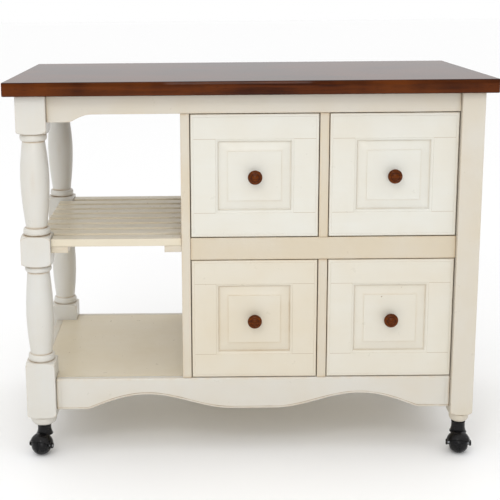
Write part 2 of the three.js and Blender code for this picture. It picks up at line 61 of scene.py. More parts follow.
# ---- Sizes of the fine work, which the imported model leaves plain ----
BOARD_EASE = 1.3 * MM  # rounding of a painted board's edges
TOP_EASE = 2.4 * MM
RIM = 4.0 * MM  # width of the band beside an edge where its wear fades out
CAP_RING = 1.5 * MM  # flat ring inside a slab's rounding; with it, less than the corners' radius
GLAZE_REACH = 3.0 * MM  # how far glaze creeps out of a joint
CORNER_POINTS = 4
TURNED_POINTS = 48  # round a turned piece
PROFILE_SAMPLES = 1200  # along a profile, when its hollows are looked for

GLUE_GAP = 0.3 * MM  # between the lower shelf and the legs it is notched round
SHELF_EASE = 0.5 * MM
SLAT_COUNT = 9
SLAT_EASE = 1.0 * MM
SLAT_WEAR = 0.15  # share of the other boards' wear
PANEL_EASE = 0.8 * MM
TOP_CORNER = {"radius": 5 * MM, "points": 6}

LEG_CORNER_POWER = 44  # of the rounded square: the higher, the sharper its corners
LEG_BLEND = 0.7 * MM  # softness of the line where a turned shape meets a square face
LEG_GLAZE = {"depth": 1.3 * MM, "reach": 7 * MM, "seam": 0.5, "seam_width": 1.2 * MM}
FOOT = {"height": 22 * MM, "inset": 3 * MM, "toe": 10 * MM, "band": 7 * MM, "groove": 2 * MM}
SOCKET = {"radius": 5 * MM, "depth": 37 * MM}
SHOULDER = 13 * MM
SHOULDER_POINTS = 12
RING = {"radius": 32 * MM, "root": 28.3 * MM, "height": 18 * MM, "small": 13 * MM, "cove": 4 * MM}
RING_GAP = 0.6 * MM  # left flat above and below a ring
TOP_BLOCK = 89 * MM
MID_BLOCK = 72 * MM
MID_BLOCK_ABOVE_SLATS = 8 * MM
BOTTOM_BLOCK = 140 * MM
UPPER_TURNING = {"low": 25 * MM, "belly": 34 * MM, "at": 0.565, "high": 26.5 * MM}
LOWER_TURNING = {"low": 26 * MM, "belly": 33 * MM, "at": 0.47, "high": 26.5 * MM}

BRACKET = {"flat": 54 * MM, "run": 50 * MM, "drop": 18 * MM}
SCALLOP = {"flat": 78 * MM, "rise_run": 142 * MM, "centre": 100 * MM, "rise": 37 * MM}
BEAD = 3.4 * MM  # rounded lower edge of an apron
QUIRK = np.array([(0, 1.0), (0.8, 1.7), (0.8, 2.5), (0, 3.2)]) * MM  # groove over it: depth, height
# Glaze and painted shade laid into the bottom of that groove, darkening it into the line of shade along the
# bead
QUIRK_GLAZE_AND_SHADE = 0.9

FRONT_FRAME = 58 * MM
STICKING = 7 * MM
BEVEL = 22 * MM
MITRE_STEPS = 10
UNDER_FACE = {"groove": 7.0 * MM, "bevel_low": 6.8 * MM, "bevel_high": 2.4 * MM, "field": 1.2 * MM}
FRONT_GLAZE = {"share": 0.5, "depth": 1.4 * MM, "reach": 4 * MM, "shoulder": 0.24, "bevel": 0.04}
FRONT_TINTS = {"upper_left": 0.2, "upper_right": 0.2, "lower_left": 0.85, "lower_right": 0.5}

BOX_WALL = 12 * MM
BOX_BOTTOM = 6 * MM
BOX_RECESS = 12 * MM
BOX_EASE = 1.0 * MM
BOX_LIFT = 0.3 * MM  # of the box over the line its recess is measured from
BOX_HOUSING = 1 * MM  # how far its bottom and guide strips are let in
GUIDE = {"inner": 16.5 * MM, "width": 10 * MM, "gap": 1.5 * MM}

KNOB = {"spigot": 14 * MM, "spigot_radius": 4 * MM, "head": 7.4 * MM, "ring": 9.6 * MM}

WHEEL_RADIUS = 25 * MM
WHEEL_TREAD = 3 * MM  # half the width of its cylindrical middle
WHEEL_HALF_WIDTH = 21 * MM
HOOD_INNER = 26.4 * MM
HOOD_OUTER = 29 * MM
HOOD_TILT = math.radians(38)
HOOD_LIP = 1 * MM
NECK = {"radius": 17 * MM, "bottom": 37 * MM, "top": 75.7 * MM}
STEM = {"radius": 4 * MM, "top": 112 * MM}
AXLE_RADIUS = 3 * MM
AXLE_BORE = 3.5 * MM
BOSS = {"radius": 7 * MM, "end": 30.2 * MM}

# ---- Studio: name, place, width, watts, and whether its reflection shows ----
SOFT_LIGHTS = (
    ("key_softbox", (-1.2, -3.3, 2.6), 1.8, 15, False),
    ("front_softbox", (0.1, -4.3, 1.6), 1.3, 20, True),
    ("highlight_softbox", (-0.6, -2.3, 2.5), 0.6, 7, True),
)
LIT_POINT = (0, 0, 0.45)
FLOOR = {"half_width": 30.0, "tone": 0.91}
SURROUND = {"horizon": 0.56, "zenith": 1.36}  # strength as a light
CAMERA = {
    "eye": (-0.1199, -2.6021, 1.1285),
    "turns": (-0.0004, 0.1919, 0.0086),
    "sensor": 36.0,
    "lens": 73.94,
    "shift": (0.104, -0.132),
}


def srgb(red, green, blue):
    """A colour of 0 to 255 as the linear values that a shader takes."""
    share = np.array([red, green, blue]) / 255
    linear = np.where(share <= 0.04045, share / 12.92, ((share + 0.055) / 1.055) ** 2.4)
    return (*linear.tolist(), 1.0)


# ---- Meshes: a form is points with faces and four values at each point ----
class Form:
    """Points (n, 3) and faces, with the point's place along and across its board, and three masks."""

    def __init__(self, points, faces, place=None, glaze=0.0, edge=0.0):
        count = len(points)
        self.points = np.asarray(points, float)
        self.faces = faces
        self.place = self.points.copy() if place is None else np.asarray(place, float)
        self.glaze = np.broadcast_to(np.asarray(glaze, float), count).copy()
        self.edge = np.broadcast_to(np.asarray(edge, float), count).copy()


def ring_faces(rings, around, capped=True, looped=False):
    """Quads between rings of points that each run right round, with the two ends closed."""
    steps = np.arange(rings if looped else rings - 1)[:, None]
    this = np.arange(around)[None, :]
    following = (this + 1) % around
    low, high = steps * around, ((steps + 1) % rings) * around
    quads = np.stack([low + this, low + following, high + following, high + this], -1)
    faces = quads.reshape(-1, 4).tolist()
    if capped and not looped:
        faces.append(list(range(around))[::-1])
        faces.append(list(range((rings - 1) * around, rings * around)))
    return faces


def add_piece(name, body, slot, material, forms, nodes=(), tint=0.0, crease=34):
    """Joins the forms into one object with its masks, turns its faces outwards, and lets it ride."""
    points, faces, start = [], [], 0
    for form in forms:
        points.append(form.points)
        faces += [[start + corner for corner in face] for face in form.faces]
        start += len(form.points)
    mesh = bpy.data.meshes.new(name)
    mesh.from_pydata(np.vstack(points).tolist(), [], faces)
    shaped = bmesh.new()
    shaped.from_mesh(mesh)
    bmesh.ops.recalc_face_normals(shaped, faces=shaped.faces)
    shaped.to_mesh(mesh)
    shaped.free()
    shift = (zlib.crc32(name.encode()) % 997) / 97  # no two boards share one stretch of grain
    place = np.vstack([form.place for form in forms]) + shift
    mesh.attributes.new("place", "FLOAT_VECTOR", "POINT").data.foreach_set("vector", place.ravel())
    masks = {
        "glaze": np.concatenate([form.glaze for form in forms]),
        "edge": np.concatenate([form.edge for form in forms]),
        "tint": np.full(start, float(tint)),
    }
    for mask, values in masks.items():
        mesh.attributes.new(mask, "FLOAT", "POINT").data.foreach_set("value", values)
    mesh.shade_smooth()
    mesh.set_sharp_from_angle(angle=math.radians(crease))
    mesh.materials.append(material)
    piece = bpy.data.objects.new(name, mesh)
    bpy.context.scene.collection.objects.link(piece)
    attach(piece, body)
    if nodes:
        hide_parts(*nodes)
    return piece


def section_angles():
    """The angles round one rounded corner, from one face's side to the next one's."""
    return np.linspace(0, math.pi / 2, CORNER_POINTS)


def rounded_section(half_u, half_v, inset, ease):
    """A rectangle with round corners and a point a rim's width before and after each of them.

    Each corner is an arc of radius ease less the inset about a centre that stays put, so that
    sections with a growing inset draw the rounded end of a board.
    Returns offsets from the corner's centre, the corner's signs, and 1 on the arcs.
    """
    radius = max(ease - inset, 0.12 * ease)
    rim_u = min(RIM, 0.5 * half_u - 0.5 * ease)
    rim_v = min(RIM, 0.5 * half_v - 0.5 * ease)
    offsets, signs, masks = [], [], []
    for quarter in range(4):
        sign = np.array([(1, 1), (-1, 1), (-1, -1), (1, -1)][quarter], float)
        angles = section_angles() + quarter * math.pi / 2
        arc = radius * np.stack([np.cos(angles), np.sin(angles)], -1)
        rims = np.array([rim_v, rim_u]) if quarter % 2 == 0 else np.array([rim_u, rim_v])
        back = np.array([math.sin(angles[0]), -math.cos(angles[0])]) * rims[0]
        ahead = np.array([-math.sin(angles[-1]), math.cos(angles[-1])]) * rims[1]
        offsets.append(np.vstack([arc[:1] + back, arc, arc[-1:] + ahead]))
        signs.append(np.tile(sign, (CORNER_POINTS + 2, 1)))
        masks.append(np.concatenate([[0.0], np.ones(CORNER_POINTS), [0.0]]))
    return np.vstack(offsets), np.vstack(signs), np.concatenate(masks)


def with_quirk(offsets, signs, masks):
    """The section with a groove in both faces above its lower corners.

    The rim point above each lower corner gives way to the groove's points, measured from the
    arc's end. Also returns 1 at the bottom of the groove, where glaze and painted shade are laid.
    """
    left, right = 2 * (CORNER_POINTS + 2), 4 * (CORNER_POINTS + 2) - 1
    count = len(QUIRK)
    cut_left = offsets[left + 1] + QUIRK[::-1]
    cut_right = offsets[right - 1] + QUIRK * (-1, 1)
    offsets = np.vstack([offsets[:left], cut_left, offsets[left + 1:right], cut_right])
    left_signs, right_signs = np.tile(signs[left], (count, 1)), np.tile(signs[right], (count, 1))
    signs = np.vstack([signs[:left], left_signs, signs[left + 1:right], right_signs])
    plain = np.zeros(count)
    masks = np.concatenate([masks[:left], plain, masks[left + 1:right], plain])
    bottom = (QUIRK[:, 0] > 0).astype(float)
    inner = right - left - 1
    return offsets, signs, masks, np.concatenate([np.zeros(left), bottom, np.zeros(inner), bottom])


def end_steps(ease):
    """Distances in from a board's end, and the inset of its section at each of them."""
    angles = np.radians([14, 40, 65, 90])
    return ease * (1 - np.cos(angles)), ease * (1 - np.sin(angles))


def board(low, high, axis, ease=BOARD_EASE, lower=None, glazed=(1.0, 1.0), step=0.05, quirk=False):
    """A board: a rounded rectangle carried along one axis, with rounded ends.

    lower, if given, is a function of the place along it that gives its lower edge's height, and
    quirk cuts a groove above that edge.
    Glaze dies away exponentially with the distance from each end that meets another piece.
    """
    low, high = np.array(low, float), np.array(high, float)
    u_axis, v_axis = [a for a in (X, Y, Z) if a != axis]
    length = high[axis] - low[axis]
    near, insets = end_steps(ease)
    fade = np.array([1.0, 2.2, 4.5, 9.0]) * MM + ease
    count = max(2, int(length / step) + 1)
    middle = np.linspace(0.012, length - 0.012, count)
    ends = np.concatenate([near, fade])
    along = np.concatenate([ends, middle, length - ends[::-1]])
    inset = np.concatenate([insets, np.zeros(len(fade) + count + len(fade)), insets[::-1]])
    half = (high - low) / 2
    rings = []
    for share in inset:
        section = rounded_section(half[u_axis], half[v_axis], share, ease)
        rings.append(with_quirk(*section) if quirk else section)
    offsets = np.array([ring[0] for ring in rings])
    signs, rim = rings[0][1], rings[0][2]
    # glaze with painted shade at the bottom of the quirk, so that its line reads dark
    groove = QUIRK_GLAZE_AND_SHADE * rings[0][3] if quirk else np.zeros(len(rim))
    points = np.zeros((len(along), len(rim), 3))
    points[:, :, axis] = (low[axis] + along)[:, None]
    centre = (low + high) / 2
    points[:, :, u_axis] = centre[u_axis] + signs[:, 0] * (half[u_axis] - ease) + offsets[:, :, 0]
    floor = np.full(len(along), low[v_axis]) if lower is None else lower(low[axis] + along)
    corner = np.where(signs[None, :, 1] > 0, high[v_axis] - ease, (floor + ease)[:, None])
    points[:, :, v_axis] = corner + offsets[:, :, 1]
    glaze = glazed[0] * np.exp(-along / GLAZE_REACH) + glazed[1] * np.exp((along - length) / GLAZE_REACH)
    place = points[:, :, [axis, u_axis, v_axis]]
    return Form(
        points.reshape(-1, 3),
        ring_faces(len(along), len(rim)),
        place.reshape(-1, 3),
        np.maximum(glaze[:, None], groove[None, :]).reshape(-1),
        np.tile(rim, len(along)),
    )


def rounded_outline(corners, radius, steps):
    """A closed outline with each right-angled corner turned into an arc that touches both sides."""
    corners = np.array(corners, float)
    rounded = []
    for number, corner in enumerate(corners):
        before = corners[number - 1] - corner
        after = corners[(number + 1) % len(corners)] - corner
        before /= np.linalg.norm(before)
        after /= np.linalg.norm(after)
        share = np.linspace(0, math.pi / 2, steps)[:, None]
        centre = corner + radius * (before + after)
        rounded.append(centre - radius * (after * np.cos(share) + before * np.sin(share)))
    return np.vstack(rounded)


def slab(outline, low, high, ease):
    """An outline carried upwards, drawn in along its own normals by a quarter circle at both edges.

    Each end is a fan from the outline's middle, which sees all of its sides.
    """
    before = outline - np.roll(outline, 1, axis=0)
    after = np.roll(outline, -1, axis=0) - outline
    before /= np.linalg.norm(before, axis=1)[:, None]
    after /= np.linalg.norm(after, axis=1)[:, None]
    side = before + after
    side /= np.linalg.norm(side, axis=1)[:, None]
    inward = np.stack([-side[:, 1], side[:, 0]], -1)
    angles = np.radians([0, 18, 36, 54, 72, 90])
    inset = np.concatenate([[ease + CAP_RING], ease * (1 - np.sin(angles))])
    rise = np.concatenate([[0.0], ease * (1 - np.cos(angles))])
    heights = np.concatenate([low + rise, high - rise[::-1]])
    insets = np.concatenate([inset, inset[::-1]])
    plan = outline[None] + inward[None] * insets[:, None, None]
    points = np.concatenate([plan, np.broadcast_to(heights[:, None, None], plan.shape[:2] + (1,))], -1)
    round_share = np.clip(insets / ease, 0, 1)
    edge = np.repeat(4 * round_share * (1 - round_share), len(outline))
    count = len(outline)
    faces = ring_faces(len(heights), count, capped=False)
    middle = outline.mean(axis=0)
    ends = np.array([[*middle, low], [*middle, high]])
    this = np.arange(count)
    following = (this + 1) % count
    last = (len(heights) - 1) * count
    first_end = len(heights) * count
    faces += np.stack([following, this, np.full(count, first_end)], -1).tolist()
    faces += np.stack([last + this, last + following, np.full(count, first_end + 1)], -1).tolist()
    return Form(np.vstack([points.reshape(-1, 3), ends]), faces, edge=np.concatenate([edge, [0, 0]]))


def lathe(profile, around=TURNED_POINTS):
    """A profile of (radius, height) carried round the upright axis: a point for each angle and row."""
    profile = np.array(profile, float)
    angles = np.arange(around) * 2 * math.pi / around
    radius = profile[:, 0][:, None]
    grid = np.stack(
        [
            radius * np.cos(angles),
            radius * np.sin(angles),
            np.broadcast_to(profile[:, 1][:, None], (len(profile), around)),
        ],
        -1,
    )
    return Form(grid.reshape(-1, 3), ring_faces(len(profile), around))


def looped_lathe(profile, around):
    """A closed profile that doesn't touch the axis, carried round it as a ring."""
    form = lathe(profile, around)
    form.faces = ring_faces(len(profile), around, looped=True)
    return form


def hollows(depth, reach, at, radius):
    """Glaze from a profile: how far each point lies under its neighbourhood's mean, over a depth."""
    fine = np.linspace(at.min(), at.max(), PROFILE_SAMPLES)
    height = np.interp(fine, at, radius)
    width = max(3, int(reach / (fine[1] - fine[0])) | 1)
    padded = np.pad(height, width // 2, mode="edge")
    mean = np.convolve(padded, np.ones(width) / width, mode="valid")
    return np.interp(at, fine, np.clip((mean - height) / depth, 0, 1))


def arc(centre, radii, start, end, steps):
    """Points of an ellipse from one angle to another, in degrees, as (radius, height)."""
    angles = np.radians(np.linspace(start, end, steps))
    return np.stack([centre[0] + radii[0] * np.cos(angles), centre[1] + radii[1] * np.sin(angles)], -1)


def turned_form(form, matrix):
    """The form with its points carried by a matrix."""
    matrix = np.array(matrix)
    form.points = form.points @ matrix[:3, :3].T + matrix[:3, 3]
    return form


# ---- Legs and posts ----
def vase(shape, low, high, steps=22):
    """Swells on a quarter of a sine from each neck to the belly."""
    widest = low + (high - low) * shape["at"]
    share = np.linspace(0, 1, steps)
    swell = np.sin(share * math.pi / 2)
    lower_radius = shape["low"] + (shape["belly"] - shape["low"]) * swell
    upper_radius = shape["high"] + (shape["belly"] - shape["high"]) * swell
    below = np.stack([lower_radius, low + (widest - low) * share], -1)
    above = np.stack([upper_radius, high - (high - widest) * share], -1)
    return np.vstack([below, above[::-1][1:]])


def bead(low, height, steps=9):
    """Half an ellipse out from the root and back."""
    radii = (RING["radius"] - RING["root"], height / 2 - RING_GAP)
    return arc((RING["root"], low + height / 2), radii, -90, 90, steps)


def block(square, low, high, top_shoulder=True):
    """A square block: wider than its corners, with a quarter ellipse in to its face at each end.

    Its rows stand closer together near the top, where the glaze of the joint above fades.
    """
    half = square / 2
    corner = half * math.sqrt(2) + 1 * MM
    bends = np.radians(np.linspace(0, 90, SHOULDER_POINTS))
    out = half + (corner - half) * np.sin(bends)
    run = SHOULDER * (1 - np.cos(bends))
    clear = SHOULDER + 1 * MM
    inner_high = high - (clear if top_shoulder else 0)
    near_end = inner_high - np.array([12, 8, 5, 3, 1.5, 0]) * MM
    between = np.concatenate([np.linspace(low + clear, inner_high - 20 * MM, 5), near_end])
    rows = [np.stack([out, low + run], -1), np.stack([np.full(len(between), corner), between], -1)]
    if top_shoulder:
        rows.append(np.stack([out, high - run], -1)[::-1])
    return np.vstack(rows)


def foot(square, floor):
    """The socket's wall, the round toe, the band above it and the groove under the block."""
    widest = square / 2 - FOOT["inset"]
    round_height = FOOT["height"] - FOOT["band"] - FOOT["groove"]
    top = floor + FOOT["height"]
    socket = [(SOCKET["radius"], floor + SOCKET["depth"]), (SOCKET["radius"], floor)]
    toe = arc((widest - FOOT["toe"], floor + round_height), (FOOT["toe"], round_height), -90, 0, 9)
    band = np.linspace(floor + round_height + 1 * MM, top - FOOT["groove"] - 0.6 * MM, 3)
    groove = widest - FOOT["groove"]
    rest = [(groove, top - FOOT["groove"]), (groove, top - 0.5 * MM)]
    return np.vstack([socket, toe, np.stack([np.full(3, widest), band], -1), rest])


def square_angles():
    """Angles round a square, close together at its corners."""
    face = np.array([0, 8, 16, 24, 31, 37, 41, 43, 44.2])
    sector = np.concatenate([-face[:0:-1], face, [45.0]])
    return np.radians(np.concatenate([sector + 90 * quarter for quarter in range(4)]))


def squared_turning(profile, square, centre):
    """A turned profile cut by a square: its radius is the smooth least of the turning's and the square's.

    The square's distance in direction a is half / (|cos a|^p + |sin a|^p)^(1/p). Glaze lies in the
    profile's hollows, whose first two points are the socket's, and along the seam of the two shapes.
    """
    angles = square_angles()
    power = LEG_CORNER_POWER
    flat = (np.abs(np.cos(angles)) ** power + np.abs(np.sin(angles)) ** power) ** (-1 / power)
    flat = (square / 2) * flat[None, :]
    radius = profile[:, 0][:, None]
    share = np.clip(0.5 + 0.5 * (flat - radius) / LEG_BLEND, 0, 1)
    cut = flat * (1 - share) + radius * share - LEG_BLEND * share * (1 - share)
    height = np.broadcast_to(profile[:, 1][:, None], cut.shape)
    points = np.stack([centre[0] + cut * np.cos(angles), centre[1] + cut * np.sin(angles), height], -1)
    outside = np.clip(profile[:, 0], 0, square / 2)
    order = np.argsort(profile[2:, 1], kind="stable")
    glaze = np.zeros(len(profile))
    glaze[2:][order] = hollows(
        LEG_GLAZE["depth"], LEG_GLAZE["reach"], profile[2:, 1][order], outside[2:][order]
    )
    glaze = np.broadcast_to(glaze[:, None], cut.shape)
    seam = LEG_GLAZE["seam"] * np.exp(-(((flat - radius) / LEG_GLAZE["seam_width"]) ** 2))
    corner = np.clip((flat * math.sqrt(2) - square * 0.97) / (square * 0.02), 0, 1) * (radius > flat)
    place = points[:, :, [Z, X, Y]]
    return Form(
        points.reshape(-1, 3),
        ring_faces(len(profile), len(angles)),
        place.reshape(-1, 3),
        np.maximum(glaze, seam * (radius > 0.8 * square / 2)).reshape(-1),
        corner.reshape(-1),
    )


def leg_profile(square, floor, top, slats):
    """Foot, block, turning, block at the height of the slats, turning and block, with rings between."""
    bottom_low = floor + FOOT["height"]
    bottom_high = bottom_low + BOTTOM_BLOCK
    mid_high = slats + MID_BLOCK_ABOVE_SLATS
    mid_low = mid_high - MID_BLOCK
    top_low = top - TOP_BLOCK
    small = mid_low - RING["small"] - RING["cove"]
    ring = RING["height"]
    return np.vstack(
        [
            foot(square, floor),
            block(square, bottom_low, bottom_high),
            bead(bottom_high, ring),
            vase(LOWER_TURNING, bottom_high + ring, small),
            bead(small, RING["small"]),
            [(RING["root"], mid_low - 0.5 * MM)],
            block(square, mid_low, mid_high),
            bead(mid_high, ring),
            vase(UPPER_TURNING, mid_high + ring, top_low - ring),
            bead(top_low - ring, ring),
            block(square, top_low, top, top_shoulder=False),
        ]
    )


def post_profile(square, floor, top):
    """A foot and one long block."""
    shaft = block(square, floor + FOOT["height"], top, top_shoulder=False)
    return np.vstack([foot(square, floor), shaft])


def legs_and_posts():
    """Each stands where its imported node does, with glaze that fades down from the worktop."""
    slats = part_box("slat_1")[1].z
    for corner in ("front_left", "back_left", "front_right", "back_right"):
        left = corner.endswith("left")
        node = corner + ("_leg" if left else "_post")
        low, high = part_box(node)
        square = high.x - low.x
        centre = ((low.x + high.x) / 2, (low.y + high.y) / 2)
        profile = leg_profile(square, low.z, high.z, slats) if left else post_profile(square, low.z, high.z)
        form = squared_turning(profile, square, centre)
        form.glaze = np.maximum(form.glaze, np.exp((form.points[:, Z] - high.z) / GLAZE_REACH))
        add_piece(node + "_painted", "root", "leg_paint", PAINT, [form], [node], tint=0.15 if left else 0.6)


# ---- Frame ----
def bracket_edge(bottom, start, end=math.inf):
    """Flat beside each leg, then a quarter of a sine up to the rail's straight lower edge."""

    def lower(along):
        near = np.minimum(along - start, end - along)
        share = np.clip((near - BRACKET["flat"]) / BRACKET["run"], 0, 1)
        return bottom + BRACKET["drop"] * np.sin(share * math.pi / 2)

    return lower


def scallop_edge(left, right, bottom):
    """Flat at the ends and in the middle: a quarter of a sine up, then half a cosine down."""
    middle = (left + right) / 2

    def lower(along):
        near = middle - left - np.abs(along - middle)
        peak = SCALLOP["flat"] + SCALLOP["rise_run"]
        fall = middle - left - SCALLOP["centre"] / 2 - peak
        up = np.sin(np.clip((near - SCALLOP["flat"]) / SCALLOP["rise_run"], 0, 1) * math.pi / 2)
        down = (1 + np.cos(np.clip((near - peak) / fall, 0, 1) * math.pi)) / 2
        return bottom + SCALLOP["rise"] * np.where(near < peak, up, down)

    return lower


def frame_board(node, axis, tint, lower=None, **shape):
    """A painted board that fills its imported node's box along one axis."""
    low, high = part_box(node)
    form = board(low, high, axis, lower=lower, **shape)
    add_piece(node + "_painted", "root", "frame_paint", PAINT, [form], [node], tint=tint)


def frame_boards():
    """The rails, stiles and panels; the higher a tint, the warmer that board's paint."""
    low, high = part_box("front_top_rail")
    edge = bracket_edge(low.z, low.x)
    for node in ("front_top_rail", "back_top_rail"):
        frame_board(node, X, 0.6, edge, step=0.008)
    low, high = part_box("left_top_rail")
    frame_board("left_top_rail", Y, 0.7, bracket_edge(low.z, low.y, high.y), step=0.006)
    # The aprons, whose quirk is darkened by glaze and painted shade
    low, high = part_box("front_apron")
    for node in ("front_apron", "back_apron"):
        frame_board(node, X, 0.35, scallop_edge(low.x, high.x, low.z), ease=BEAD, step=0.008, quirk=True)
    frame_board("left_bottom_rail", Y, 0.4)
    frame_board("left_stile", Z, 0.75)
    frame_board("mid_rail", X, 0.95)
    frame_board("upper_centre_stile", Z, 0.9)
    frame_board("lower_centre_stile", Z, 0.8)
    frame_board("partition_panel", Z, 0.6)
    frame_board("right_side_panel", Z, 0.5)
    frame_board("back_panel", X, 0.5, ease=PANEL_EASE, glazed=(0.2, 0.2))


def shelves():
    """The lower shelf, notched round the legs and posts, then the slats and their two cleats."""
    inner_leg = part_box("front_left_leg")[1]
    inner_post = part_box("front_right_post")
    low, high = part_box("bottom_shelf")
    leg_x, leg_y = inner_leg.x + GLUE_GAP, -inner_leg.y - GLUE_GAP
    post_x, post_y = inner_post[0].x - GLUE_GAP, -inner_post[1].y - GLUE_GAP
    outline = [
        (leg_x, low.y), (post_x, low.y), (post_x, -post_y), (high.x, -post_y),
        (high.x, post_y), (post_x, post_y), (post_x, high.y), (leg_x, high.y),
        (leg_x, leg_y), (low.x, leg_y), (low.x, -leg_y), (leg_x, -leg_y),
    ]
    form = slab(np.array(outline), low.z, high.z, SHELF_EASE)
    painted = ("root", "shelf_paint", SHELF_PAINT)
    add_piece("bottom_shelf_painted", *painted, [form], ["bottom_shelf"], tint=0.8)
    for number in range(1, SLAT_COUNT + 1):
        node = f"slat_{number}"
        low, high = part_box(node)
        form = board(low, high, X, SLAT_EASE, glazed=(0.0, 0.6))
        form.edge *= SLAT_WEAR
        add_piece(node + "_painted", *painted, [form], [node], tint=0.7)
    for node in ("left_slat_cleat", "right_slat_cleat"):
        frame_board(node, Y, 0.8, ease=SLAT_EASE, glazed=(0, 0))


def worktop():
    """One slab with round corners and eased edges."""
    low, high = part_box("top")
    corners = [(low.x, low.y), (high.x, low.y), (high.x, high.y), (low.x, high.y)]
    outline = rounded_outline(corners, TOP_CORNER["radius"], TOP_CORNER["points"])
    form = slab(outline, low.z, high.z, TOP_EASE)
    add_piece("worktop", "root", "top_stain", TOP_STAIN, [form], ["top"], crease=60)


# ---- Drawers ----
def front_profile(thick):
    """The depth of a drawer front under its frame's face at each distance in from its edge.

    Up the edge, round it, over a hollow lip to the frame; then down the sticking's round to the
    groove, and up the raised panel's bevel to its step and field.
    """
    groove = FRONT_FRAME + STICKING
    bevel_top = groove + BEVEL
    edge = arc((3.0 * MM, -3.4 * MM), (3.0 * MM, 2.7 * MM), 180, 90, 6)
    lip = [(5.6 * MM, -0.75 * MM), (6.5 * MM, -0.9 * MM), (7.0 * MM, -0.15 * MM), (7.5 * MM, 0.0)]
    frame_face = [(8.5 * MM, 0.0), (30 * MM, 0.0), (FRONT_FRAME - 2 * MM, 0.0)]
    frame_edge = [(FRONT_FRAME - 0.3 * MM, 0.0), (FRONT_FRAME + 0.2 * MM, -0.9 * MM)]
    round_over = arc((FRONT_FRAME + 0.6 * MM, -5.2 * MM), (STICKING - 1.4 * MM, 4.1 * MM), 90, 8, 7)
    low, high = UNDER_FACE["bevel_low"], UNDER_FACE["bevel_high"]
    channel = [(groove - 0.3 * MM, -low), (groove + 0.5 * MM, -UNDER_FACE["groove"])]
    share = np.linspace(0, 1, 6)
    bevel = np.stack([groove + 1.0 * MM + (BEVEL - 1.2 * MM) * share, -low + (low - high) * share], -1)
    level = [(bevel_top + step * MM, -UNDER_FACE["field"]) for step in (0.8, 1.6, 3.0, 12.0)]
    field = [(bevel_top + 0.1 * MM, -UNDER_FACE["field"] - 0.2 * MM), *level]
    side = [(0.0, -thick), (0.0, -10 * MM)]
    parts = [side, edge, lip, frame_face, frame_edge, round_over, channel, bevel, field]
    rows = np.vstack(parts)
    return rows[:, 0], -rows[:, 1]


def nested_rectangles(width, height, inset, depth):
    """A rectangle for each inset, at its depth, each side cut into equal steps from mitre to mitre."""
    share = np.linspace(-1, 1, MITRE_STEPS + 1)[:-1]
    one = np.ones(MITRE_STEPS)
    x = np.concatenate([share, one, -share, -one])
    z = np.concatenate([-one, share, one, -share])
    half_x, half_z = width / 2 - inset, height / 2 - inset
    grid_x = half_x[:, None] * x[None]
    grid_z = half_z[:, None] * z[None]
    grid_y = np.broadcast_to(depth[:, None], grid_x.shape)
    return np.stack([grid_x, grid_y, grid_z], -1)


def drawer_front(name, node, tint):
    """Nested rectangles at the profile's depths, with glaze in its hollows and on the panel's bevel, and
    painted shade on its sides and outermost edge, which darkens the gap round it.

    face and reach tell the paint where a point lies from the front's middle, and the half sizes.
    """
    low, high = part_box(node)
    width, height, thick = high.x - low.x, high.z - low.z, high.y - low.y
    inset, depth = front_profile(thick)
    grid = nested_rectangles(width, height, inset, depth)
    centre = np.array([(low.x + high.x) / 2, low.y, (low.z + high.z) / 2])
    hollow = hollows(FRONT_GLAZE["depth"], FRONT_GLAZE["reach"], inset[2:], -depth[2:])
    glaze = FRONT_GLAZE["share"] * hollow
    groove = FRONT_FRAME + STICKING
    shoulder = np.exp(-(((inset[2:] - groove - BEVEL + 0.2 * MM) / (1.0 * MM)) ** 2))
    on_bevel = (inset[2:] > groove) & (inset[2:] < groove + BEVEL)
    on_panel = np.maximum(FRONT_GLAZE["shoulder"] * shoulder, FRONT_GLAZE["bevel"] * on_bevel)
    glaze = np.maximum(glaze, on_panel)
    # Painted shade: the two side rows get full glaze and the outermost edge a band of it, so the gap round
    # the front shows dark. The rest is glaze in the hollows.
    glaze = np.concatenate([[1, 1], np.maximum((0.6 + tint) * glaze, np.exp(-inset[2:] / (0.5 * MM)))])
    edge = 0.7 * np.exp(-(((inset - 1.5 * MM) / (1.5 * MM)) ** 2))
    count = grid.shape[1]
    form = Form(
        (grid + centre).reshape(-1, 3),
        ring_faces(len(inset), count),
        grid[:, :, [X, Z, Y]].reshape(-1, 3),
        np.repeat(glaze, count),
        np.repeat(edge, count),
    )
    painted = (name, "drawer_paint", FRONT_PAINT)
    piece = add_piece(name + "_front_painted", *painted, [form], [node], tint=tint, crease=24)
    face = np.concatenate([grid.reshape(-1, 3)[:, [X, Z]], np.zeros((grid.size // 3, 1))], 1)
    halves = np.array([width / 2, height / 2, 0])
    for label, values in (("face", face), ("reach", np.tile(halves, (len(face), 1)))):
        made = piece.data.attributes.new(label, "FLOAT_VECTOR", "POINT")
        made.data.foreach_set("vector", values.ravel())


